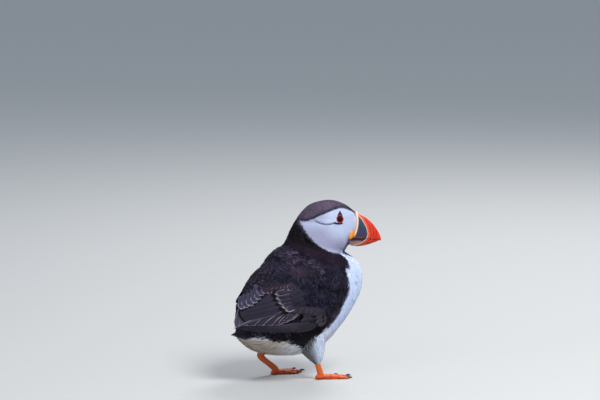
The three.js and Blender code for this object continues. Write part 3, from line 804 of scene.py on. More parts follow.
# legs' forms: a tube along stations of x, y, z, half width and half depth
legs = {
    # rearShade is painted shade on the back of the thigh; shade and shankShade darken the foot and the shank
    # with painted shade
    "right": {
        "side": -1, "rearShade": 0.95, "shade": 1.0, "shankShade": 1.0,
        "thigh": [[-1, -17, 56, 17, 20], [3.2, -19, 42, 15, 18], [7.1, -20.5, 30, 11, 12.4],
                  [9.5, -21, 22, 7, 8], [10.3, -21.3, 17.5, 4, 4.6]],
        "shank": [[10.0, -21.3, 19.5, 2.4, 3.0], [10.9, -21.5, 14.6, 2.3, 2.9], [12.4, -21.8, 9.6, 2.4, 3.1],
                  [13.6, -22, 5.4, 2.9, 3.2], [15.0, -22, 2.6, 2.6, 2.4]],
        "foot": {"x": 14.5, "y": -22, "turn": 0},
    },
    "left": {
        "side": 1, "rearShade": 0.5, "shade": 0.8, "shankShade": 0.82,
        "thigh": [[6, 17, 54, 17, 18], [-4, 18.5, 42, 15, 16], [-16, 20, 33, 10.5, 10.5],
                  [-25, 20.6, 27.6, 6, 5.5], [-29, 20.8, 25.8, 4, 4]],
        "shank": [[-27.6, 20.9, 26.6, 2.4, 2.9], [-32.6, 21, 24.6, 2.8, 3.4], [-35, 21, 22.0, 3.0, 3.9],
                  [-33, 21.2, 18.4, 2.7, 3.3], [-27, 21.6, 13.4, 2.4, 3.0], [-21, 22, 8.8, 2.7, 3.2],
                  [-17.5, 22, 5.4, 3.0, 3.2], [-15.5, 22, 2.8, 2.6, 2.4]],
        "foot": {"x": -16.5, "y": 22, "turn": 4},
    },
}


def stationTube(stations, rows, around):
    # each ring is an ellipse across the path: its width lies level, its depth in the upright plane
    # of the path
    row = rowAt(stations, np.linspace(0, len(stations) - 1, rows))
    centre = row[:, :3]
    ahead = unit(np.gradient(centre, axis=0))
    level = unit(np.cross(np.broadcast_to([0.0, 1.0, 0.0], ahead.shape), ahead))
    width = unit(np.cross(ahead, level))
    angle = np.linspace(0, 2 * np.pi, around, endpoint=False)
    ring = (width[:, None] * (np.cos(angle)[:, None] * row[:, None, 3:4])
            + level[:, None] * (np.sin(angle)[:, None] * row[:, None, 4:5]))
    return centre[:, None] + ring


def outwardTube(grid):
    # the tube with its rings reversed if its faces would point inwards
    normals = gridNormals(grid)
    out = (normals * (grid - grid.mean(1, keepdims=True))).sum()
    return grid if out > 0 else grid[:, ::-1]


# the skin
thighCoat = 1.6               # how deep the thighs' skin lies


def makeThighForm(leg):
    # the leg's stations drawn in by the coat's depth; dark feathers hang over its rear upper part, and
    # painted shade darkens its back
    thin = np.array(leg["thigh"]) - [0, 0, 0, thighCoat, thighCoat]
    grid = outwardTube(stationTube(thin, 60, 56))
    normals = gridNormals(grid)
    x, z = grid[..., 0], grid[..., 2]
    # painted shade: the thigh's back, facing away, turns to the shade brown, as does the low end of the dark
    # edge over it
    behind = ease(0.15, -0.5, normals[..., 0]) * ease(50, 36, z) * leg["rearShade"]
    edge = -4.2 + 0.44 * (z - 30) + 1.4 * markingsNoise(grid, 3.0)
    dark = painted(palette["flank"], (palette["thighBack"], ease(42, 33, z)))
    tint = painted(palette["thigh"], (palette["thighBack"], behind),
                   (dark, ease(-1.5, 1.5, edge - x) * ease(24, 31, z)))
    return {"points": grid, "ahead": grid, "normals": normals, "tint": tint}


bakePlaces = {
    "body": ((0.0, 0.16), (1.0, 1.0)),
    "right": ((0.0, 0.0), (0.48, 0.14)),
    "left": ((0.52, 0.0), (1.0, 0.14)),
}
bodyForm = makeBodyForm()
thighForms = {name: makeThighForm(leg) for name, leg in legs.items()}


def makeSkin():
    # the body and both thighs joined into one closed surface
    skin = addPiece("skin", closedMesh("skin", bodyForm["points"], bodyForm["tint"], *bakePlaces["body"]),
                    finishes["skin"], "plumage_dark",
                    ["trunk", "neck", "head", "wing_left", "wing_right", "thigh_left", "thigh_right"])
    for name, form in thighForms.items():
        mesh = closedMesh("thighTool", form["points"], form["tint"], *bakePlaces[name])
        tool = addObject("thighTool", mesh)
        join = skin.modifiers.new("join", "BOOLEAN")
        join.operation = "UNION"
        join.solver = "EXACT"
        join.object = tool
        graph = bpy.context.evaluated_depsgraph_get()
        joined = bpy.data.meshes.new_from_object(skin.evaluated_get(graph), depsgraph=graph)
        skin.modifiers.clear()
        skin.data = joined
        bpy.data.objects.remove(tool)
    skin.data.shade_smooth()
    print("skin", len(skin.data.polygons), "faces")


makeSkin()


# the coat: small closed vanes laid on the skin
def vaneTemplate(rows, halves):
    # rows are shares of the length and halves the half widths there, of 1; left, middle and right
    # points on each row and one at the tip, flat beneath and ridged on top
    count = len(rows)
    along = np.concatenate([np.repeat(rows, 3), [1.0]])
    across = np.concatenate([(np.array([-1, 0, 1]) * np.array(halves)[:, None]).ravel(), [0.0]])
    ridge = np.concatenate([np.tile([0.0, 1.0, 0.0], count), [0.0]])
    mapAcross = np.concatenate([np.tile([0.0, 0.5, 1.0], count), [0.5]])
    a = 3 * np.arange(count - 1)
    quads = np.concatenate([stack(a, a + 1, a + 4, a + 3), stack(a + 1, a + 2, a + 5, a + 4),
                            stack(a + 2, a, a + 3, a + 5)])
    last = 3 * (count - 1)
    tip = 3 * count
    tris = np.array([[last, last + 1, tip], [last + 1, last + 2, tip], [last + 2, last, tip], [0, 2, 1]])
    rim = [(3 * k + e, 3 * k + 3 + e) for k in range(count - 1) for e in (0, 2)]
    rim += [(last, tip), (last + 2, tip)]
    return {"along": along, "across": across, "ridge": ridge, "mapAcross": mapAcross, "quads": quads,
            "caps": tris, "rim": rim}


vanes = {
    "round": vaneTemplate([0.0, 0.3, 0.62, 0.84, 0.95], [0.42, 0.86, 1.0, 0.84, 0.52]),
    "soft": vaneTemplate([0.0, 0.35, 0.7, 0.9], [0.5, 0.95, 0.85, 0.42]),
    "hair": vaneTemplate([0.0, 0.4, 0.75], [0.6, 1.0, 0.62]),
}


crowd = 7                     # places tried for each one that fits


def scatterRoots(form, spacing, keepShare):
    # random places in proportion to the area, then one kept for each cube of the spacing, with the
    # cubes shifted twice, which leaves them about evenly apart; keepShare is a 0 to 1 grid
    points = form["points"]
    rows, around = points.shape[:2]
    along = np.diff(points, axis=0)
    beside = (np.roll(points, -1, 1) - points)[:-1]
    area = np.linalg.norm(np.cross(along, beside), axis=-1) * (keepShare[:-1] > 0.02)
    total = np.cumsum(area.ravel())
    wanted = int(total[-1] / spacing ** 2 * crowd)
    cell = np.searchsorted(total, random.random(wanted) * total[-1])
    u = (cell // around + random.random(wanted)) / (rows - 1)
    v = (cell % around + random.random(wanted)) / around
    kept = random.random(wanted) < sampleGrid(keepShare, u, v)
    u = u[kept]
    v = v[kept]
    for shift, size in ((0.0, 1.0), (0.5, 1.0), (0.27, 0.9)):
        place = np.floor(sampleGrid(points, u, v) / (spacing * size) + shift).astype(int)
        _, first = np.unique(place, axis=0, return_index=True)
        first = np.sort(first)
        u = u[first]
        v = v[first]
    return u, v


def jitter(count, low, high):
    # random numbers spread evenly from low to high
    return low + (high - low) * random.random(count)


rootHeight = 0.05             # of a feather's root over the skin
farthest = 0.12               # the longest step over the skin, as a share of its grid
bakePatch = 0.003             # how much of the bake map a feather covers


def layFeathers(form, u, v, look, bake):
    # each feather is its template stretched along the lie of the coat from its root: a point at
    # (along, across) sits at that distance over the skin, found from the skin's own steps, and
    # raised by the lift times along plus the ridge
    shape = vanes[look["vane"]]
    points = form["points"]
    step = 1e-3
    alongU = (sampleGrid(points, u + step, v) - sampleGrid(points, u - step, v)) / (2 * step)
    alongV = (sampleGrid(points, u, v + step) - sampleGrid(points, u, v - step)) / (2 * step)
    normal = sampleGrid(form["normals"], u, v)
    ahead = sampleGrid(form["ahead"], u, v)
    lie = unit(look.get("flow", -1) * alongU)
    if "steer" in look:
        aim, share = look["steer"](ahead)
        lie = lie * (1 - share) + aim * share
    lie = unit(lie - normal * dot(lie, normal))
    side = np.cross(lie, normal)

    def varied(low, high):
        # one random number for each vane
        return jitter(len(u), low, high)[:, None]

    yaw = varied(-1, 1) * math.radians(look["yaw"])
    lie, side = lie * np.cos(yaw) + side * np.sin(yaw), side * np.cos(yaw) - lie * np.sin(yaw)
    grow = look["size"](ahead) if "size" in look else 1.0
    length = look["length"] * varied(0.85, 1.12) * grow
    width = look["width"] * varied(0.85, 1.15) * grow
    lift = look["lift"] * varied(0.7, 1.25) * grow
    offset = ((length * shape["along"])[..., None] * lie[:, None]
              + (width / 2 * shape["across"])[..., None] * side[:, None])
    uu, uv, vv = dot(alongU, alongU), dot(alongU, alongV), dot(alongV, alongV)
    du, dv = ((offset * along[:, None]).sum(-1) for along in (alongU, alongV))
    fixed = np.maximum(uu * vv - uv ** 2, 1e-3 * vv * np.maximum(uu, 1))
    stepU = np.clip((vv * du - uv * dv) / fixed, -farthest, farthest)
    stepV = np.clip((uu * dv - uv * du) / fixed, -farthest, farthest)
    place = u[:, None] + stepU, v[:, None] + stepV
    height = (rootHeight + lift * shape["along"]
              + width * look["ridge"] * shape["ridge"] * (1 - 0.6 * shape["along"]))
    loose = look.get("loose", 0.0)
    straight = sampleGrid(points, u, v)[:, None] + offset
    points = sampleGrid(points, *place) * (1 - loose) + straight * loose
    points = points + sampleGrid(form["normals"], *place) * height[..., None]
    # the colour is the marking under the vane's outer half
    tint = sampleGrid(form["tint"], np.clip(u + stepU[:, -1] * 0.5, 0, 1), v + stepV[:, -1] * 0.5)
    tint = tint * varied(1 - look["vary"], 1 + look["vary"])
    edgeTint, share = look["edge"](ahead, tint)
    low, high = bake
    root = np.array(low) + stack(v % 1, np.clip(u, 0, 1)) * (np.array(high) - low)
    patch = stack(shape["mapAcross"] - 0.5, shape["along"] - 0.5) * bakePatch
    each = len(shape["along"])
    return {
        "points": points,
        "vane": np.tile(stack(shape["mapAcross"], shape["along"]), (len(u), 1)),
        "bake": root[:, None] + patch,
        "tint": np.repeat(np.concatenate([tint, varied(0, 1)], 1), each, 0),
        "edgeTint": np.repeat(np.concatenate([edgeTint, share[:, None]], 1), each, 0),
    }


def markRims(mesh, each, rim):
    # a template's rim edges are creased, so the top and the underside shade apart
    ends = np.empty(len(mesh.edges) * 2, np.int32)
    mesh.edges.foreach_get("vertices", ends)
    local = np.sort(ends.reshape(-1, 2) % each, 1)
    table = np.zeros((each, each), bool)
    table[tuple(np.sort(np.array(rim), 1).T)] = True
    sharp = mesh.attributes.new("sharp_edge", "BOOLEAN", "EDGE")
    sharp.data.foreach_set("value", table[tuple(local.T)])


def vanePiece(name, shape, sets, finish, slotName, replaced=(), flip=False):
    # joins laid sets of one template into a piece; where the sets bring no bake map, each vane has
    # its own oblong of it
    each = len(shape["along"])
    gather = {key: np.concatenate([one[key].reshape(-1, one[key].shape[-1]) for one in sets])
              for key in sets[0]}
    count = len(gather["points"]) // each
    base = (np.arange(count) * each)[:, None, None]
    faces = [(shape[kind] + base).reshape(-1, shape[kind].shape[1])[:, ::-1 if flip else 1]
             for kind in ("quads", "caps")]
    if "bake" not in gather:
        columns = int(np.ceil(np.sqrt(count / 3))) * 3
        number = np.repeat(np.arange(count), each)
        place = stack(number % columns, number // columns) + 0.05 + 0.9 * gather["vane"]
        gather["bake"] = place * [1 / columns, 1 / np.ceil(count / columns)]
    mesh = makeMesh(name, gather["points"], faces, {"vane": gather["vane"], "OFBake": gather["bake"]},
                    {"tint": gather["tint"], "edgeTint": gather["edgeTint"]})
    markRims(mesh, each, shape["rim"])
    mesh.uv_layers["vane"].active_render = True
    addPiece(name, mesh, finish, slotName, replaced)
    print(name, count, "vanes")


def plainEdge(share, colour):
    # every vane's fringe in one colour and share
    return lambda place, tint: (np.broadcast_to(colour, tint.shape), np.full(len(tint), share))


def randomEdge(low, high, colour):
    # fringes that differ from feather to feather and come in drifts
    def choose(place, tint):
        # more fringe where the slow waves run high
        drift = 0.5 + 0.5 * markingsNoise(place, 7.0)
        share = low + (high - low) * random.random(len(tint)) * drift
        return np.broadcast_to(colour, tint.shape), share
    return choose


def alongWing(place):
    # over the folded arm the feathers point along the wing
    x, y, z = place.T
    inside = ease(-1, 9, outlineDistance(x, z, wing["outline"])) * ease(8, 18, np.abs(y))
    return unit(np.array(wing["axis"], float)), 0.85 * inside[:, None]


def smallByTheEye(place):
    # a vane's size, 0.55 at the eye and 1 beyond 9 mm
    gap = np.hypot(place[:, 0] - eye["x"], place[:, 2] - eye["z"])[:, None]
    return 0.55 + 0.45 * ease(3.5, 9.0, gap)


# where each part of the coat grows, as shares of the skin's grid
s = bodyForm["s"]
turn = bodyForm["turn"]
x, y, z = np.moveaxis(bodyForm["ahead"], -1, 0)
pale = ease(0.12, 0.3, bodyForm["tint"].mean(-1))
dark = 1 - pale
faceShare = ease(-1.5, -0.5, outlineDistance(x, z, facePatch)) * (s > 10.5)
armShare = ease(-2, 1, outlineDistance(x, z, wing["outline"])) * (np.abs(y) > 12) * (s < 10)
# the face's coat stays clear of the eye, of its plates and of the gape
clear = ease(3.9, 4.2, np.hypot(x - eye["x"] - 0.5, z - eye["z"]))
for outline in plates.values():
    clear = clear * ease(-0.3, -0.7, outlineDistance(x - eye["x"] - 0.6, z - eye["z"], outline))
gape = np.hypot((x - rosette["x"] - 0.8) / (rosette["along"] + 0.6), (z - rosette["z"]) / rosette["high"])
clear = np.where(s > 13, clear * ease(0.8, 1.0, gape), 1.0)

# what a tract doesn't say
plainTract = {"vane": "soft", "yaw": 9, "finish": "coat", "slot": "plumage_dark"}
tracts = {
    "coatFace": {
        "share": faceShare * clear, "spacing": 0.92, "length": 2.3, "width": 1.1, "lift": 0.28,
        "ridge": 0.05, "yaw": 7, "vary": 0.03, "edge": plainEdge(0.2, ink(204, 212, 240)),
        "size": smallByTheEye, "slot": "plumage_pale",
    },
    "coatCap": {
        "share": (1 - faceShare) * ease(11.0, 11.6, s), "spacing": 1.12, "length": 3.0, "width": 1.5,
        "lift": 0.45, "ridge": 0.07, "vary": 0.24, "edge": randomEdge(0.0, 0.4, ink(125, 113, 133)),
    },
    "coatNeck": {
        "share": ease(8.3, 8.9, s) * ease(11.6, 11.0, s) * (1 - faceShare), "spacing": 1.4, "length": 4.6,
        "width": 2.2, "lift": 0.95, "ridge": 0.08, "vary": 0.2, "edge": randomEdge(0.0, 0.3, ink(57, 43, 53)),
    },
    "coatBack": {
        "share": ease(8.9, 8.3, s) * dark * (1 - armShare) * ease(0.4, 1.0, s) * ease(112, 100, turn),
        "spacing": 2.5, "vane": "round", "length": 7.6, "width": 4.7, "lift": 1.4, "ridge": 0.09,
        "vary": 0.34, "edge": randomEdge(0.0, 1.0, ink(98, 84, 104)),
    },
    "coatArms": {
        "share": armShare * dark, "spacing": 2.2, "vane": "round", "length": 6.4, "width": 3.9, "lift": 1.25,
        "ridge": 0.09, "yaw": 8, "vary": 0.28, "edge": randomEdge(0.0, 0.9, ink(72, 67, 88)),
        "steer": alongWing,
    },
    "coatFlanks": {
        "share": dark * (1 - armShare) * ease(100, 112, turn) * ease(8.9, 8.3, s) * ease(0.3, 0.8, s),
        "spacing": 2.4, "length": 8.0, "width": 3.2, "lift": 1.3, "ridge": 0.08, "yaw": 12, "vary": 0.15,
        "edge": plainEdge(0.1, ink(33, 28, 35)), "finish": "down",
    },
    "coatBreast": {
        "share": pale * ease(10.6, 10.2, s) * ease(40, 52, z) * (turn > 60), "spacing": 1.5, "length": 6.0,
        "width": 2.3, "lift": 0.9, "ridge": 0.07, "vary": 0.03, "edge": plainEdge(0.3, ink(206, 218, 244)),
        "finish": "down", "slot": "plumage_pale",
    },
    "coatBelly": {
        "share": pale * ease(8, 7, s) * ease(52, 40, z) * ease(0.2, 0.5, s) * (turn > 60), "spacing": 1.5,
        "vane": "hair", "length": 10.5, "width": 1.6, "lift": 1.8, "ridge": 0.1, "yaw": 14, "vary": 0.16,
        "loose": 0.25, "edge": plainEdge(0.4, ink(226, 224, 222)), "finish": "down", "slot": "plumage_pale",
    },
}
thighTract = {
    "spacing": 1.1, "vane": "hair", "length": 7.5, "width": 1.5, "lift": 1.1, "ridge": 0.1, "yaw": 12,
    "vary": 0.2,
    "edge": plainEdge(0.5, ink(214, 222, 236)), "flow": 1, "loose": 0.15,
}


def makeCoat():
    # each tract's roots scattered by its share of the skin, then its vanes
    for name, tract in tracts.items():
        look = {**plainTract, **tract}
        u, v = scatterRoots(bodyForm, look["spacing"], look["share"])
        laid = layFeathers(bodyForm, u, v, look, bakePlaces["body"])
        vanePiece(name, vanes[look["vane"]], [laid], finishes[look["finish"]], look["slot"])
    sets = []
    for name, form in thighForms.items():
        rows, around = form["points"].shape[:2]
        share = np.repeat(ease(0.12, 0.3, np.linspace(0, 1, rows))[:, None], around, 1)
        u, v = scatterRoots(form, thighTract["spacing"], share)
        sets.append(layFeathers(form, u, v, thighTract, bakePlaces[name]))
    vanePiece("coatThighs", vanes[thighTract["vane"]], sets, finishes["down"], "plumage_pale")


makeCoat()


# the large feathers of the folded wings
wingForm = {
    # upright sections that the folded quills lie on: top x, z, bottom x, z, widest level, half width,
    # squareness
    "sections": [
        [24, 110, 24, 20, 0.48, 43.5, 2.2],
        [0, 110, 0, 20, 0.48, 45.5, 2.2],
        [-22, 108, -22, 20, 0.48, 44, 2.2],
        [-42, 106, -42, 22, 0.47, 38.5, 2.2],
        [-58, 100, -58, 26, 0.46, 28.5, 2.2],
        [-69, 90.5, -69, 30, 0.45, 18, 2.2],
        [-79, 81, -79, 36, 0.44, 9, 2.2],
    ],
    "lowX": -94, "highX": 46, "lowZ": 14, "highZ": 140,
}


def halfWidthAt(rows, x, z):
    # the section whose plane passes nearest through (x, z), then its half width at that level:
    # half (1 - share^n)^(1/n)
    row = rowAt(rows, np.linspace(0, len(rows) - 1, 320))
    px = x.ravel()
    pz = z.ravel()
    bellyX, bellyZ, upX, upZ = sectionFrame(row)[:4]
    near = np.abs((px[:, None] - bellyX) * upZ - (pz[:, None] - bellyZ) * upX).argmin(1)
    bellyX, bellyZ, upX, upZ, height, widest, half, power = sectionFrame(row[near])
    level = ((px - bellyX) * upX + (pz - bellyZ) * upZ) / height - widest
    share = np.clip(np.abs(level) / np.where(level > 0, 1 - widest, widest), 0, 1)
    return (half * (1 - share ** power) ** (1 / power)).reshape(x.shape)


def makeFlankForms():
    # half widths on a grid of the side view: under the quills the wider of the body and the wing's
    # own sections, over the arm the body with the arm's swelling
    x, z = np.meshgrid(np.arange(wingForm["lowX"], wingForm["highX"] + 1.0),
                       np.arange(wingForm["lowZ"], wingForm["highZ"] + 1.0), indexing="ij")
    trunk = halfWidthAt(body["sections"][:10], x, z)
    quills = halfWidthAt(wingForm["sections"], x, z)
    arm = ease(0, wing["softEdge"], outlineDistance(x, z, wing["outline"])) * wing["rise"] + rearLobe(x, z)
    slope = np.minimum(np.sqrt(1 + np.gradient(trunk, axis=0) ** 2 + np.gradient(trunk, axis=1) ** 2), 2.0)
    forms = {"quill": np.maximum(trunk + 0.6, quills - 3.0),
             "arm": np.maximum(trunk + (arm - 1.2) * slope, quills - 1.6)}
    for grid in forms.values():
        for _ in range(5):
            soften(grid)
            soften(grid.T)
    return forms


flankForms = makeFlankForms()


def flankAt(kind, x, z):
    # the folded wing's half width at x and z, between the grid's four nearest points
    grid = flankForms[kind]
    i = np.clip(x - wingForm["lowX"], 0, grid.shape[0] - 1.001)
    j = np.clip(z - wingForm["lowZ"], 0, grid.shape[1] - 1.001)
    a = np.floor(i).astype(int)
    b = np.floor(j).astype(int)
    return fourPoints(grid, a, b, b + 1, i - a, j - b)


def bladeTemplate(rows, columns):
    # a closed vane: rows of a loop that goes over the top from the lower to the upper edge and back
    # beneath, with both ends closed
    loop = 2 * columns - 2
    top = np.linspace(-1, 1, columns)
    across = np.concatenate([top, top[-2:0:-1]])
    under = np.concatenate([np.zeros(columns), np.ones(columns - 2)])
    caps = np.stack([np.arange(loop)[::-1], (rows - 1) * loop + np.arange(loop)])
    along = 1 - (1 - np.linspace(0, 1, rows)) ** 1.35
    rim = [(k * loop + e, (k + 1) * loop + e) for k in range(rows - 1) for e in (0, columns - 1)]
    return {"along": np.repeat(along, loop), "across": np.tile(across, rows), "under": np.tile(under, rows),
            "quads": tubeFaces(rows, loop), "caps": caps, "rim": rim}


bladeShape = bladeTemplate(15, 9)
bladeThick = 0.35
shaftHigh = 0.35
shaftHalf = 0.09              # half width of the raised shaft, of 1
steepest = 2.2                # the most that a blade's height over a slope is stretched


def bladeHalf(left, taper, power, start, startEnd):
    # half widths: 1-(1-left/taper)^power near the tip and a narrower start at the root
    edge = 1 - (1 - np.clip(left / taper, 0, 1)) ** power
    return np.maximum(edge, 0.03) * (start + (1 - start) * ease(0, startEnd, bladeShape["along"][None]))


def bladeSet(points, across, tint, edgeTint, edge):
    # one laid set of blades: its points, its vane map and its two colours
    colours = np.ones((2,) + points.shape[:2] + (4,))
    colours[0, ..., :3] = tint
    colours[1, ..., :3] = edgeTint
    colours[1, ..., 3] = edge
    vane = stack(across, bladeShape["along"][None], points[..., 0])[..., :2]
    return {"points": points, "vane": vane, "tint": colours[0], "edgeTint": colours[1]}


def behind(tips, reach, degrees):
    # roots at reach from the tips, up and forward by degrees
    turn = np.radians(degrees)
    return tips + stack(reach * np.cos(turn), reach * np.sin(turn))


def layBlades(kind, fan, side):
    # a blade's middle line goes straight from its root to its tip, bowed by 4t(1-t); from it the
    # vane reaches its width up or down, narrowing over the last stretch; the sheet lies at its lift
    # over the flank, tilted across so that each tucks under the next
    fan = {**plainFan, **fan}
    tips = np.array(fan["tips"], float)
    count = len(tips)
    if "behind" in fan:
        roots = behind(tips, *fan["behind"])
        tips = tips + fan["shift"]
    else:
        roots = np.array(fan["roots"], float)
    if len(roots) != count:
        roots = roots[0] + np.linspace(0, 1, count)[:, None] * (roots[1] - roots[0])
    if side > 0:
        for ends in (tips, roots):
            ends[:, 0] += (1 - wing["tuck"]) * np.maximum(wing["tuckFrom"] - ends[:, 0], 0)
    t = bladeShape["along"][None]
    c = bladeShape["across"][None]
    step = tips - roots
    length = np.hypot(step[:, 0], step[:, 1])[:, None]
    ahead = step / length
    up = stack(ahead[:, 1], -ahead[:, 0])
    up = up * np.sign(up[:, 1:2] + 1e-6)
    size = jitter(count, 0.95, 1.05)[:, None]
    reach, taper, power = (np.broadcast_to(fan[key], 2) for key in ("reach", "taper", "power"))
    upper, lower = (reach[k] * bladeHalf(length * (1 - t), taper[k], power[k], 0.45, 0.25) * size
                    for k in (0, 1))
    offset = fan["bow"] * 4 * t * (1 - t) + np.where(c > 0, c * upper, c * lower)
    x = roots[:, 0:1] + step[:, 0:1] * t + up[:, 0:1] * offset
    z = roots[:, 1:2] + step[:, 1:2] * t + up[:, 1:2] * offset
    sheet = (np.linspace(*fan["lifts"], count)[:, None] + fan["rootSink"] * (1 - t) ** 2
             + fan["tipRise"] * t ** 3 + fan["tilt"] * c)
    sheet = sheet + fan["camber"] * (1 - c * c) + shaftHigh * bell(c, shaftHalf) * (1 - 0.6 * t)
    sheet = sheet - bladeThick * bladeShape["under"][None] * (1 - c * c) ** 0.5
    slopeX = (flankAt(kind, x + 2, z) - flankAt(kind, x - 2, z)) / 4
    slopeZ = (flankAt(kind, x, z + 2) - flankAt(kind, x, z - 2)) / 4
    y = flankAt(kind, x, z) + sheet * np.minimum(np.sqrt(1 + slopeX ** 2 + slopeZ ** 2), steepest)
    tone = jitter(count, 0.92, 1.08)[:, None, None]
    above, below = fan["edgeSides"]
    edge = fan["edge"] * np.where(c < 0, below, above) * ease(*fan["edgeFrom"], t)
    return bladeSet(stack(x, np.maximum(y, 0.8) * side, z), (1 - side * c) / 2,
                    fan["tint"] * tone, fan["edgeTint"], edge)


lilacEdge = ink(141, 132, 149)
palestEdge = ink(172, 162, 176)
brownEdge = ink(94, 76, 89)
quillPlain = ink(42, 37, 53)
quillGrey = ink(31, 29, 44)
# the black of the sheets of painted shadow under the feathers' edges
shadowSheetBlack = ink(3, 3, 3)
scapularTips = [[-44.3, 95.2], [-43.7, 90.7], [-41.7, 86.3], [-39, 82.3], [-36, 78.9]]
rearTips = [[-72.6, 78.0], [-69.8, 79.6], [-66.0, 81.8], [-62.2, 84.8], [-58.6, 88.4], [-55.6, 92.4]]

# what a fan doesn't say
plainFan = {
    "taper": 8, "power": (1.6, 2.0), "shift": 0, "bow": 0, "tilt": 0, "camber": 0.5,
    "rootSink": -1.0,         # how far the roots dive under their neighbours
    "tipRise": 0,
    "edge": 0, "edgeSides": (1, 1),   # the fringe's share, on the upper and the lower side
    "edgeFrom": (-1, 0),      # where along the blade it fades in
    "tint": shadowSheetBlack, "edgeTint": shadowSheetBlack,
}
# each fan: the tips' x and z, the roots or how far and steeply they lie behind the tips, and for the
# upper and the lower side of its blades the reach, the taper towards the tip and the taper's power
quillFans = {
    # the inner tertials of the wing, lilac grey, nearest the tail
    "innerTertials": {
        "roots": [[-66, 88], [-63, 87]], "tips": [[-76.8, 59.5], [-73.5, 62]], "reach": (3.0, 4.4),
        "lifts": [-0.3, 0.2], "tint": ink(77, 71, 91), "edge": 0.55, "edgeTint": lilacEdge,
    },
    # primaries: long blades along the lower edge
    "primaries": {
        "roots": [[6, 64.4], [4, 62.8]],
        "tips": [[-78.2, 58.2], [-72, 57.3], [-62, 56.7], [-50, 56.2], [-38, 56.4]],
        "reach": (4.2, 1.7), "taper": (14, 9), "lifts": [0.1, 0.6], "bow": -1.2,
        "tint": quillGrey, "edge": 0.22, "edgeTint": brownEdge,
    },
    # secondaries, tips in steps along the folded wing, each over the one behind it
    "secondaries": {
        "tips": [[-74.4, 61.4], [-68.4, 62.0], [-62.0, 62.4], [-54.8, 62.8], [-47.4, 63.0], [-41.0, 65.4],
                 [-36.6, 67.8], [-33.2, 70.8], [-29.6, 73.4]],
        "behind": (23, 37), "reach": (1.5, 6.4), "taper": (9, 10), "power": (1.6, 1.7), "lifts": [0.6, 1.5],
        "bow": 0.9, "tilt": 0.15, "tint": ink(50, 42, 57), "edge": 1.0, "edgeSides": (1.0, 0.3),
        "edgeTint": palestEdge,
    },
    # the long pale line where they come out from under the tertials
    "panelEdge": {
        "roots": [[-33, 79], [-31, 78.2]], "tips": [[-78.4, 58.2], [-75, 59.8]], "reach": (0.9, 0.6),
        "taper": 12,
        "lifts": [1.9, 1.7], "bow": 2.4, "tint": ink(96, 82, 100), "edge": 0.95, "edgeTint": palestEdge,
        "camber": 0.25,
    },
    # tertials: broad plain dark feathers over the secondaries' roots, with a black sheet of painted shadow
    # under their edge
    "tertialShade": {
        "roots": [[-36, 83], [-37, 87], [-38, 92]], "tips": [[-73.8, 70.4], [-71.0, 74.8], [-67.0, 79.6]],
        "reach": (6.0, 5.4), "taper": (2.6, 2.2), "power": (3, 3.4), "lifts": [1.3, 1.3],
    },
    "tertials": {
        "roots": [[-38, 92], [-37, 87], [-36, 83]], "tips": [[-65.4, 80.2], [-69.4, 75.2], [-72.4, 70.8]],
        "reach": (6.0, 5.2), "taper": (2.6, 2.4), "power": (3, 3.2), "lifts": [1.7, 2.0],
        "tint": quillPlain, "edge": 0.10, "edgeTint": brownEdge, "camber": 0.7,
    },
    # greater primary coverts, and a black sheet of painted shadow in the dark hollow in front of them
    "covertShade": {
        "roots": [[8, 65], [8, 69]], "tips": [[-13, 67], [-10, 72]], "reach": 3.2, "taper": 7,
        "lifts": [1.7, 1.9],
    },
    "primaryCoverts": {
        "tips": [[-28, 57.5], [-22.5, 61.6], [-19.5, 66.6], [-16.5, 72.0]], "behind": (26, 6),
        "reach": (4.4, 3.6), "power": 2, "lifts": [1.5, 2.1], "tint": ink(34, 31, 42), "edge": 0.2,
        "edgeTint": brownEdge,
    },
    "carpalTuft": {
        "roots": [[12, 64.8], [13, 68], [12, 71.5]], "tips": [[0.4, 60.8], [-2.6, 64.4], [-2.4, 68.8]],
        "reach": 2.4, "taper": 5, "power": 2.2, "lifts": [2.2, 2.7], "rootSink": -5.5,
        "tint": ink(50, 41, 50),
        "edge": 0.6, "edgeFrom": (0.55, 0.95), "edgeTint": ink(120, 106, 126),
    },
}

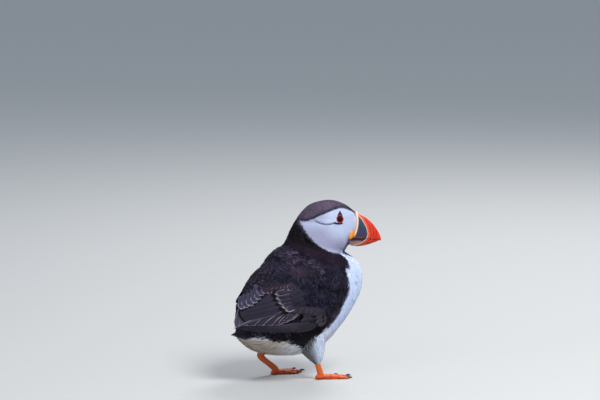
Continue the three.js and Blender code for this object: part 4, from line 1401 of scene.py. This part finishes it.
coverFans = {
    # dark coverts over the bases of the secondaries, then the scalloped edges of the scapulars
    "covertEdge": {
        "tips": [[-33, 77.2], [-27, 76.4], [-21, 75.8], [-15, 75], [-9.5, 74.4], [-5, 72.6]],
        "behind": (16, 15),
        "reach": (3.6, 3.4), "taper": 6, "power": 2, "lifts": [1.9, 1.6], "rootSink": -3.4,
        "tint": ink(38, 33, 44), "edge": 0.3, "edgeFrom": (0.4, 0.95), "edgeTint": brownEdge,
    },
    "scapularsBehind": {
        "tips": [[-30.5, 94.5], [-29, 90], [-27, 85.6], [-23.5, 81.6]], "behind": (15, 15), "reach": 3.3,
        "taper": 5,
        "power": 2.2, "lifts": [2.6, 2.1], "rootSink": -3.4, "tint": ink(36, 32, 46), "edge": 0.3,
        "edgeSides": (0.1, 1.0), "edgeFrom": (0.3, 0.9), "edgeTint": ink(112, 98, 118),
    },
    # a black sheet of painted shadow under the scapulars' tips
    "scapularShade": {
        "tips": scapularTips, "behind": (15, 14), "shift": (-2.4, -1.8), "reach": (3.4, 3.6), "taper": 5,
        "power": 2.2, "lifts": [1.8, 1.3], "tipRise": 2.2,
    },
    "scapulars": {
        "tips": scapularTips, "behind": (21, 14), "reach": 3.3, "taper": 6, "power": 2.2, "lifts": [2.4, 2.0],
        "rootSink": -2.6, "tipRise": 2.4, "tint": ink(46, 41, 57), "edge": 1.0, "edgeSides": (0.25, 1.0),
        "edgeFrom": (0.05, 0.5), "edgeTint": palestEdge,
    },
    # a black sheet of painted shadow under the rear feathers' tips
    "rearShade": {
        "tips": rearTips, "behind": (7, 66), "shift": (1.0, -2.2), "reach": 3.3, "taper": 4.5, "power": 2.4,
        "lifts": [1.1, 1.3], "rootSink": -1.6,
    },
    "rear": {
        "tips": rearTips, "behind": (np.array([13, 13, 13, 12.5, 11.5, 9.5]), 64), "reach": 3.0, "taper": 4,
        "power": 2.4, "lifts": [1.6, 1.8], "rootSink": -3.7, "tint": ink(57, 53, 74), "edge": 0.8,
        "edgeFrom": (0.5, 0.92), "edgeTint": palestEdge,
    },
    "fringe": {
        "tips": [[-52.8, 94.8], [-49.4, 95.0], [-46, 95.8], [-42.6, 96.4], [-39.2, 97.1], [-35.8, 97.6],
                 [-32.4, 98.8]],
        "behind": (13, 46), "reach": 3.0, "taper": 5, "power": 2.4, "lifts": [2.0, 2.0], "rootSink": -3.2,
        "tint": ink(42, 34, 45), "edge": 0.85, "edgeFrom": (0.5, 0.95), "edgeTint": ink(146, 124, 142),
    },
}

for name, side in (("left", 1), ("right", -1)):
    for piece, kind, fans, finish, slotName, replaced in (
            ("quills_", "quill", quillFans, "quill", "flight_feathers", ["flight_feathers_" + name]),
            ("coverts_", "arm", coverFans, "covert", "plumage_dark", ())):
        # the far wing leaves out its black sheets of painted shadow
        laid = [layBlades(kind, fan, side) for key, fan in fans.items()
                if side < 0 or not key.endswith("Shade")]
        vanePiece(piece + name, bladeShape, laid, finishes[finish], slotName, replaced, side > 0)


# the tail: a low roof of short feathers, the middle pair on top
tail = {
    "count": 12,
    "root": [-50, 60],        # x, z of the roots
    "tip": [-75.6, 47.4],
    "rootHalf": 8, "tipHalf": 13.5,
    "shorter": 5.5,           # how much less the outer feathers reach
    "droop": 3.0,             # how much lower they lie
    "half": 4.2,
    "stack": 0.3,
    "tint": ink(22, 22, 33), "edge": 0.35, "edgeTint": ink(90, 87, 108),
}


def makeTail():
    # blades between the roots' line and the tips' line; each lies in the plane of its own middle
    # line and the level across it, raised by stack for each place nearer the middle
    a = np.linspace(-1, 1, tail["count"])[:, None]
    t = bladeShape["along"][None]
    c = bladeShape["across"][None]
    bend = a * a
    root = stack(tail["root"][0], tail["rootHalf"] * a, tail["root"][1] - 0.6 * tail["droop"] * bend)
    tip = stack(tail["tip"][0] + tail["shorter"] * bend, tail["tipHalf"] * a,
                tail["tip"][1] - 0.25 * tail["droop"] * bend)
    direct = unit(tip - root)
    lean = stack(0, np.cos(0.5 * a), -np.sin(0.5 * a))
    side = unit(lean - direct * (lean * direct).sum(-1, keepdims=True))
    normal = np.cross(side, direct)
    normal = normal * np.sign(normal[..., 2:])
    side = np.cross(direct, normal)
    length = np.linalg.norm(tip - root, axis=-1)
    half = tail["half"] * bladeHalf(length * (1 - t), 6.5, 2.2, 0.5, 0.3)
    high = (tail["stack"] * (1 - np.abs(a)) * tail["count"] / 2 + 0.5 * (1 - c * c) + 0.3 * bell(c, shaftHalf)
            - bladeThick * bladeShape["under"][None] * (1 - c * c) ** 0.5)
    points = root + (tip - root) * t[..., None] + side * (half * c)[..., None] + normal * high[..., None]
    laid = bladeSet(points, (c + 1) / 2, tail["tint"] * jitter(tail["count"], 0.9, 1.1)[:, None, None],
                    tail["edgeTint"], tail["edge"])
    vanePiece("tail_feathers", bladeShape, [laid], finishes["quill"], "flight_feathers", ["tail"])


makeTail()


# the bill
bill = {
    "upper": [
        [60.3, 171.2, 57.1, 144.6, 0.05, 8.7, 1.9],
        [65.0, 168.9, 62.0, 144.4, 0.05, 7.9, 1.8],
        [70.0, 165.9, 67.5, 144.2, 0.05, 6.8, 1.8],
        [75.2, 161.6, 73.4, 144.0, 0.07, 5.4, 1.8],
        [79.8, 156.0, 78.6, 143.6, 0.09, 3.9, 1.8],
        [83.2, 150.4, 82.6, 143.0, 0.20, 2.6, 1.8],
        [85.0, 146.4, 84.8, 142.2, 0.30, 1.3, 1.9],
        [85.5, 144.4, 85.4, 142.6, 0.45, 0.35, 2.0],
    ],
    "lower": [
        [51.0, 145.0, 50.4, 138.2, 0.93, 7.9, 1.9],
        [61.5, 144.9, 60.5, 136.2, 0.93, 7.5, 1.8],
        [67.0, 144.8, 66.5, 136.6, 0.93, 6.4, 1.8],
        [72.5, 144.6, 72.0, 138.0, 0.92, 5.1, 1.8],
        [77.5, 144.4, 77.2, 139.8, 0.88, 3.5, 1.8],
        [81.6, 143.9, 81.4, 141.4, 0.70, 1.9, 1.9],
        [83.4, 143.5, 83.3, 142.4, 0.60, 0.5, 1.9],
    ],
    # the cream ridge between the slate base and the red, x at each z
    "ridgeZ": [134.0, 136.8, 138.2, 140.6, 144.7, 150.1, 157.0, 165.0, 170.4, 174.0],
    "ridgeX": [44.0, 54.0, 59.6, 65.3, 70.4, 72.0, 70.2, 65.6, 60.6, 56.0],
    "ridgeHalf": 0.50, "ridgeRise": 0.34,
    "grooves": [3.2, 6.0, 8.9],   # ahead of the ridge
    "grooveHalf": 0.42, "grooveDepth": 0.40,
    "slate": ink(44, 54, 80), "slateLow": ink(70, 46, 60), "slateWorn": ink(89, 93, 120),
    "cream": ink(183, 162, 146), "lowerBase": ink(166, 120, 108),
    "red": ink(196, 36, 20), "redDark": ink(112, 10, 8), "orange": ink(208, 66, 34),
}


def aheadOfRidge(x, z):
    # the distance in front of the ridge line, corrected for the line's slope
    fineZ = np.linspace(bill["ridgeZ"][0], bill["ridgeZ"][-1], 400)
    fineX = np.interp(fineZ, bill["ridgeZ"], bill["ridgeX"])
    for _ in range(60):
        soften(fineX)
    slope = np.interp(z, fineZ, np.gradient(fineX, fineZ))
    return (x - np.interp(z, fineZ, fineX)) / np.sqrt(1 + slope ** 2)


def makeBillHalf(name, lowerHalf):
    # the half's sections with its grooves, the swellings between them and the raised ridge
    s, angle = ringGrid(0, len(bill[name]) - 1, 250, 152, -np.pi / 2)
    grid = sectionPoint(bill[name], s, angle)
    x, y, z = np.moveaxis(grid, -1, 0)
    front = aheadOfRidge(x, z)
    grooves = sum(bell(front - g, bill["grooveHalf"]) for g in bill["grooves"])
    swell = sum(bell(front - g - 1.5, 0.9) for g in bill["grooves"])
    height = (bill["ridgeRise"] * bell(front, bill["ridgeHalf"], 4)
              - bill["grooveDepth"] * grooves * ease(0.4, 1.4, front) + 0.10 * swell
              - 0.18 * ease(-0.3, -1.2, front))
    grid = grid + gridNormals(grid) * (height * (ease(0.0, 0.6, np.abs(y)) * 0.6 + 0.4))[..., None]
    waves = markingsNoise(grid, 3.0)
    fine = markingsNoise(grid * [1, 1, 2.4], 0.9)
    base = painted(bill["slate"], (bill["slateLow"], np.clip(ease(156, 145, z) + 0.25 * waves, 0, 1)),
                   (bill["slateWorn"], 0.3 * ease(0.1, 0.9, fine)))
    band = ease(0.4, 1.2, front) * ease(3.4, 2.4, front)
    # painted shade: the red darkens in the grooves
    red = painted(
        bill["red"],
        (bill["orange"], np.clip(0.25 + 0.3 * waves + 0.6 * band, 0, 1)),
        (bill["redDark"], np.clip(0.6 * grooves * ease(0.6, 1.6, front), 0, 1)),
        (bill["orange"], 0.5 * sum(bell(front - g + 0.8, 0.35) for g in bill["grooves"][:2])))
    if lowerHalf:
        base = painted(base, (bill["lowerBase"], ease(143.2, 141.4, z + 0.4 * waves)),
                       (bill["cream"], ease(140.0, 138.8, z) * 0.9))
        red = painted(red, (bill["redDark"], 0.25 * ease(142, 139, z)))
    colour = painted(base, (red, ease(-0.15, 0.15, front)),
                     (bill["cream"], ease(1.15, 0.75, np.abs(front) / bill["ridgeHalf"])))
    closedPiece("bill_%s_horn" % name, grid, colour * (1 + 0.05 * fine)[..., None], "horn", "bill_horn",
                "bill_" + name)


makeBillHalf("upper", False)
makeBillHalf("lower", True)


cere = {
    "sections": [
        [57.5, 172.7, 54.2, 144.6, 0.18, 9.4, 2.0],
        [58.9, 172.2, 55.7, 144.6, 0.17, 9.3, 2.0],
        [60.1, 171.6, 57.0, 144.6, 0.16, 9.0, 2.0],
    ],
    "bulge": 0.4,
    "wart": 0.14,
    "cream": ink(212, 196, 176), "pit": ink(190, 164, 136), "orange": ink(208, 124, 40),
}


def makeCere():
    # a band round the bill's root, its radius raised by bulge sin(pi t), with small pits and warts
    s, angle = ringGrid(0, 2, 30, 260, -np.pi / 2)
    grid = faceBulge(sectionPoint(cere["sections"], s, angle), 1.0)
    warts = markingsNoise(grid, 0.45)
    height = cere["bulge"] * np.sin(np.pi * s / 2) ** 0.8 + cere["wart"] * warts
    grid = grid + gridNormals(grid) * height[..., None]
    worn = np.clip(ease(0.75, 0.45, s) + ease(152, 147, grid[..., 2]), 0, 1) * 0.85
    # painted shade: the pits between the warts are darker
    colour = painted(cere["cream"], (cere["pit"], ease(-0.2, 0.8, -warts)), (cere["orange"], worn))
    closedPiece("cere_band", grid, colour, "cere", "cere_skin", "cere")


makeCere()


# eyes, their rims and plates, and the rosettes at the gape
def headHalf(x, z):
    # the head's half width at x and z
    return halfWidthAt(body["sections"], np.asarray(x, float), np.asarray(z, float))


def headFrame(x, z, side):
    # the point of the head's side at (x, z), its outward direction, and the two directions across it
    step = 0.6
    here = float(headHalf([x], [z])[0])
    slopeX = float(headHalf([x + step], [z])[0] - headHalf([x - step], [z])[0]) / (2 * step)
    slopeZ = float(headHalf([x], [z + step])[0] - headHalf([x], [z - step])[0]) / (2 * step)
    out = unit(np.array([-slopeX, 1.0, -slopeZ])) * [1, side, 1]
    forward = unit(np.array([1.0, 0, 0]) - out * out[0])
    upward = np.cross(forward, out) * -side
    upward = upward * np.sign(upward[2])
    return np.array([x, side * here, z]), out, forward, upward


eyeLook = {
    "pupil": 0.30,            # radians from the middle of the ball
    "iris": 0.66,
    "cornea": 0.35,           # how far the clear front stands out
    "ringHigh": 1.10,         # the rim is a little taller than wide
    "irisInner": ink(7, 3, 3), "irisOuter": ink(32, 9, 3), "pupilTint": ink(3, 3, 3), "outside": ink(5, 3, 3),
    "rim": ink(196, 34, 44), "rimDark": ink(128, 10, 24),
    "plate": ink(20, 9, 17), "plateEdge": ink(46, 30, 39),
}


def onAxes(across, turn, forward, upward):
    # across times the turned mixture of the two directions
    return across[..., None] * (np.cos(turn)[..., None] * forward + np.sin(turn)[..., None] * upward)


def makeEye(name, side):
    # a ball with a clear front that stands out by exp(-(polar/0.42)^2), looking out of its opening
    centre, out, forward, upward = headFrame(eye["x"], eye["z"], side)
    centre = centre - out * 0.35
    sunk = math.sqrt(eye["radius"] ** 2 - eye["opening"] ** 2)
    polar, around = ringGrid(0.02, np.pi - 0.02, 56, 72)
    radius = eye["radius"] + eyeLook["cornea"] * bell(polar, 0.42)
    ball = centre - out * sunk + radius[..., None] * (
        np.cos(polar)[..., None] * out + onAxes(np.sin(polar), around, forward, upward))
    streak = 0.5 + 0.5 * np.sin(around * 37 + 2 * np.sin(around * 11))
    colour = painted(eyeLook["irisInner"], (eyeLook["irisOuter"], streak * ease(0.34, 0.6, polar)),
                     (eyeLook["pupilTint"], ease(eyeLook["pupil"] + 0.02, eyeLook["pupil"] - 0.02, polar)),
                     (eyeLook["outside"], ease(eyeLook["iris"] - 0.04, eyeLook["iris"] + 0.03, polar)))
    closedPiece("eyeball_" + name, ball, colour, "eye", "eye", "eye_" + name)
    # the rim: a ring round the opening, its round section flattened towards the ball and crimped
    along, turn = (values[:-1] for values in ringGrid(0, 2 * np.pi, 97, 20))
    crimp = 1 + 0.05 * np.sin(along * 23) * np.cos(turn) + 0.04 * np.sin(along * 41 + turn * 2)
    thick = eye["ringThick"] * crimp
    reach = eye["ringRadius"] + thick * np.cos(turn)
    rise = thick * 0.8 * np.sin(turn) + 0.25
    ring = centre + onAxes(reach, along, forward, upward * eyeLook["ringHigh"]) + out * rise[..., None]
    colour = painted(eyeLook["rim"], (eyeLook["rimDark"], 0.5 + 0.5 * np.sin(along * 5 + 1.0)))
    rows, columns = ring.shape[:2]
    i, j = np.meshgrid(np.arange(rows), np.arange(columns), indexing="ij")
    i = stack(i, i + 1, i + 1, i).reshape(-1, 4)
    j = stack(j, j, j + 1, j + 1).reshape(-1, 4)
    quads = i % rows * columns + j % columns
    bake = stack(i / rows, j / columns)
    if (np.cross(ring[1, 5] - ring[0, 5], ring[0, 6] - ring[0, 5]) * out).sum() < 0:
        quads = quads[:, ::-1]
        bake = bake[:, ::-1]
    mesh = makeMesh("eye_rim_" + name, turnHead(ring, headSection).reshape(-1, 3), [quads], {"OFBake": bake},
                    {"tint": colour})
    addPiece("eye_rim_" + name, mesh, finishes["cere"], "eye_ring", ["eyering_" + name])


def makePlate(plateName, outline, name, side):
    # a low pad on the head's side: its outline drawn in towards the middle by r, domed by
    # 1 - r^3, closed by the same outline beneath
    corners = np.array(outline + outline[:1], float)
    path = np.concatenate([[0], np.cumsum(np.hypot(*np.diff(corners, axis=0).T))])
    at = np.linspace(0, path[-1], 61)[:-1]
    edge = stack(np.interp(at, path, corners[:, 0]), np.interp(at, path, corners[:, 1]))
    for _ in range(2):
        edge = softenRing(edge)
    middle = edge.mean(0)
    r = np.concatenate([np.linspace(0.05, 1, 12), np.linspace(0.97, 0.05, 5)])[:, None]
    top = (np.arange(17) < 12)[:, None]
    flat = middle + (edge[None] - middle) * r[..., None]
    x = eye["x"] + flat[..., 0]
    z = eye["z"] + flat[..., 1]
    dome = np.where(top, 0.75 * (1 - r ** 3) + 0.15, -1.4) + 0.06 * np.sin(flat[..., 0] * 5) * top
    colour = painted(eyeLook["plate"], (eyeLook["plateEdge"], ease(0.7, 1.0, r) * np.ones(x.shape) * 0.6))
    closedPiece("eye_plate_%s_%s" % (plateName, name), stack(x, (headHalf(x, z) + dome - 0.1) * side, z),
                colour,
                "horn", "eye_plate", "eyeplate_%s_%s" % (plateName, name))


def makeRosette(name, side):
    # an egg with folds running round it from the gape: its radius is 1 + fold sin(k angle)
    centre, out, forward, upward = headFrame(rosette["x"] - 2.2, rosette["z"], side)
    centre = centre + forward * 2.0 + out * 0.7
    lean = rosette["lean"]
    high = upward * math.cos(lean) + forward * math.sin(lean)
    along = forward * math.cos(lean) - upward * math.sin(lean)
    polar, around = ringGrid(0.03, np.pi - 0.03, 60, 96)
    wave = np.cos(polar) * 4.2 + 0.5 * np.sin(around * 3)
    fold = (0.03 * np.sin(wave * rosette["folds"] / 2 + 0.8 * np.cos(around * 2))
            + 0.012 * np.sin(around * 13 + polar * 6))
    groove = -0.5 * bell(np.cos(around) + 0.05, 0.16) * (np.sin(around) > 0) * np.sin(polar) ** 2
    size = 1 + fold + groove * 0.5
    grid = centre + size[..., None] * (
        (np.cos(polar) * rosette["high"])[..., None] * high
        + onAxes(np.sin(polar), around, rosette["along"] * along, rosette["across"] * out))
    # painted shade: darker orange in the folds' hollows and in the groove
    colour = painted(rosette["tint"], (rosette["foldTint"],
                                       np.clip(0.6 * ease(0.02, -0.04, fold) + 1.2 * np.abs(groove), 0, 1)))
    closedPiece("gape_rosette_" + name, grid, colour, "cere", "rosette_skin", "rosette_" + name)


for name, side in (("left", 1), ("right", -1)):
    makeEye(name, side)
    for plateName, outline in plates.items():
        makePlate(plateName, outline, name, side)
    makeRosette(name, side)


# shanks, webbed feet and claws
toes = {
    "inner": {"angle": -24, "length": 22, "claw": 4.4},
    "middle": {"angle": 0, "length": 29, "claw": 5.0},
    "outer": {"angle": 22, "length": 28, "claw": 4.2},
}
footLook = {
    "radius": 2.5,
    "sink": 0.35,             # the toes' undersides are flat by this much
    "web": 1.35,              # height of the web's top
    "webReach": 0.95,
    "webSag": 0.13,
    "taper": ([-0.14, 0, 0.25, 0.5, 0.78, 1], [1.0, 1.15, 0.95, 0.9, 0.8, 0.58]),
    "knuckles": [0.36, 0.64, 0.86],
    "scutes": 1.25,           # from one scute to the next
    "orange": ink(204, 92, 34), "webTint": ink(186, 66, 12), "joint": ink(147, 41, 3),
    "pale": ink(196, 131, 88),
    "claw": ink(15, 9, 9), "clawTip": ink(94, 75, 62), "clawRoot": ink(119, 66, 43),
    "away": -2.5,             # x of the middle that the foot's grid spreads from
}


def footPlace(points, foot):
    # a foot's own points turned by its angle and set under its leg
    return turnAbout(points, 0, math.radians(foot["turn"])) + [foot["x"], foot["y"], 0]


def toeParts(x, y, side):
    # for each toe: how far along it each place is, how far off its middle line, and its radius there
    parts = []
    for toe in toes.values():
        angle = math.radians(toe["angle"] * side)
        along = (x * math.cos(angle) + y * math.sin(angle)) / toe["length"]
        off = -x * math.sin(angle) + y * math.cos(angle)
        t = np.clip(along, -0.14, 1)
        past = (along - t) * toe["length"]
        radius = footLook["radius"] * np.interp(t, *footLook["taper"])
        radius = radius * (1 + sum(0.09 * np.exp(-((t - k) / 0.05) ** 2) for k in footLook["knuckles"]))
        parts.append((t, np.hypot(off, past), radius, toe))
    return parts


def webLimit(x, y, side):
    # the web's free edge between the toes' tips, drawn in by webSag 4q(1-q)
    angles = [math.radians(toe["angle"]) for toe in toes.values()]
    lengths = [toe["length"] * footLook["webReach"] for toe in toes.values()]
    angle = np.arctan2(y * side, np.maximum(x, 0.01))
    reach = np.interp(angle, angles, lengths)
    q = np.where(angle < 0, (angle - angles[0]) / (angles[1] - angles[0]),
                 (angle - angles[1]) / (angles[2] - angles[1]))
    inside = (angle > angles[0]) & (angle < angles[2]) & (x > 0)
    return np.where(inside, reach * (1 - footLook["webSag"] * 4 * q * (1 - q)), 0), np.clip(q, 0, 1)


def makeFoot(name, leg):
    # the foot spreads from a middle in rays: along each ray the outline is the furthest place inside
    # a toe or the web, and the top is the highest of the toes' round backs and the web
    side = leg["side"]
    angle = np.linspace(-np.pi, np.pi, 300, endpoint=False)
    angle = angle - 0.55 * np.sin(angle)
    reach = np.linspace(0.2, 36, 420)
    x = footLook["away"] + np.cos(angle)[:, None] * reach
    y = np.sin(angle)[:, None] * reach
    inside = np.hypot(x, y) < webLimit(x, y, side)[0]
    for _, off, radius, _ in toeParts(x, y, side):
        inside |= off < radius
    last = reach[(inside * np.arange(len(reach))).max(1)]
    for _ in range(4):
        last = softenRing(last)
    share = np.concatenate([np.linspace(0.02, 1, 64), [0.985, 0.9, 0.6, 0.3, 0.02]])[:, None]
    top = (np.arange(len(share)) < 64)[:, None]
    x = footLook["away"] + np.cos(angle) * last * share
    y = np.sin(angle) * last * share
    limit, q = webLimit(x, y, side)
    gap = np.clip((limit - np.hypot(x, y)) / 4, 0, 1)
    ripple = 0.12 * np.sin(q * 40) * np.sin(q * np.pi)
    height = np.where(limit > 0, footLook["web"] * (0.55 + 0.45 * gap) + ripple, 0.4)
    onToe, joint, scute = np.zeros((3,) + x.shape)
    anyToe = np.zeros(x.shape, bool)
    for t, off, radius, toe in toeParts(x, y, side):
        middle = radius - footLook["sink"] - 0.9 * ease(0.2, 1, t)
        across = np.clip(off / radius, 0, 1)
        step = np.abs(np.sin(t * toe["length"] / footLook["scutes"] * np.pi)) ** 0.5
        back = middle + radius * np.sqrt(np.maximum(1 - across ** 2, 0))
        back = back + 0.10 * step * ease(0.9, 0.3, across)
        better = (off < radius) & (back > height)
        onToe = np.where(off < radius, np.maximum(onToe, ease(1.0, 0.55, across)), onToe)
        scute = np.where(better, step * ease(0.9, 0.4, across), scute)
        joint = np.where(better, sum(bell(t - k, 0.035) for k in footLook["knuckles"]), joint)
        height = np.where(better, back, height)
        anyToe |= off < radius * 0.75
    under = np.minimum(np.where(anyToe, 0.0, 0.45), height - 0.2)
    z = np.where(top, np.maximum(height, 0.35), under)
    for _ in range(2):
        soften(z[:63])
        z[:63] = softenRing(z[:63].T).T
    grid = stack(x, y, z)
    colour = painted(footLook["webTint"], (footLook["orange"], onToe), (footLook["pale"], 0.35 * scute),
                     (footLook["joint"], np.clip(0.6 * joint, 0, 0.7)))
    # painted shade: the foot's colour times its leg's shade, darker on the far leg
    colour = colour * (1 + 0.10 * markingsNoise(grid, 2.4))[..., None] * leg["shade"]
    closedPiece("foot_web_" + name, footPlace(grid, leg["foot"]), colour, "foot", "foot_skin",
                "foot_" + name, False)


def makeShank(name, leg):
    # a tube with a row of overlapping scutes down its front and a net of small scales behind
    grid = outwardTube(stationTube(leg["shank"], 150, 64))
    centre = grid.mean(1)
    path = np.cumsum(np.concatenate([[0], np.linalg.norm(np.diff(centre, axis=0), axis=1)]))[:, None]
    normals = gridNormals(grid)
    front = ease(0.1, 0.6, normals[..., 0] + 0.2 * normals[..., 2])
    saw = (path / 1.7) % 1
    waves = np.sin(np.arange(grid.shape[1])[None] / grid.shape[1] * 2 * np.pi * 9)
    net = np.sin(path * 4.6 + waves * 1.2) * waves
    height = 0.16 * front * (saw ** 2) + 0.07 * (1 - front) * net
    seam = np.clip(0.75 * ease(0.16, 0.02, saw) * front + 0.35 * (1 - front) * ease(0.1, -0.6, net), 0, 1)
    colour = painted(footLook["orange"], (footLook["joint"], seam), (footLook["pale"], 0.3 * front * saw))
    # painted shade: the shank's colour times shankShade, darker on the far leg
    closedPiece("shank_skin_" + name, grid + normals * height[..., None], colour * leg["shankShade"], "foot",
                "foot_skin", "shank_" + name, False)


def makeClaw(toeName, toe, name, leg):
    # a hooked cone: its middle falls as t^2 and its radius as 1 - 0.93 t^1.3
    angle = math.radians(toe["angle"] * leg["side"])
    t, around = ringGrid(0, 1, 26, 24)
    forward = toe["length"] - 0.9 + (toe["claw"] + 1.0) * np.sin(t * 1.35) / math.sin(1.35)
    radius = 1.25 * (1 - 0.93 * t ** 1.3)
    middle = 1.75 + 0.55 * np.sin(t * 2.4) - 1.35 * t ** 2
    off = radius * 0.72 * np.cos(around)
    lifted = middle + radius * np.sin(around) - 0.12 * radius * (np.sin(around) < -0.5)
    grid = stack(forward * math.cos(angle) - off * math.sin(angle),
                 forward * math.sin(angle) + off * math.cos(angle),
                 np.maximum(lifted, 0.05))
    colour = painted(footLook["claw"], (footLook["clawTip"], 0.6 * ease(0.75, 1.0, t)),
                     (footLook["clawRoot"], 0.6 * ease(0.22, 0.05, t)))
    closedPiece("claw_horn_%s_%s" % (toeName, name), footPlace(grid, leg["foot"]),
                colour * (1 + 0.2 * np.sin(around * 9))[..., None], "claw", "claw_horn",
                "claw_%s_%s" % (toeName, name), False)


for name, leg in legs.items():
    makeFoot(name, leg)
    makeShank(name, leg)
    for toeName, toe in toes.items():
        makeClaw(toeName, toe, name, leg)
print("bill, eyes and feet")
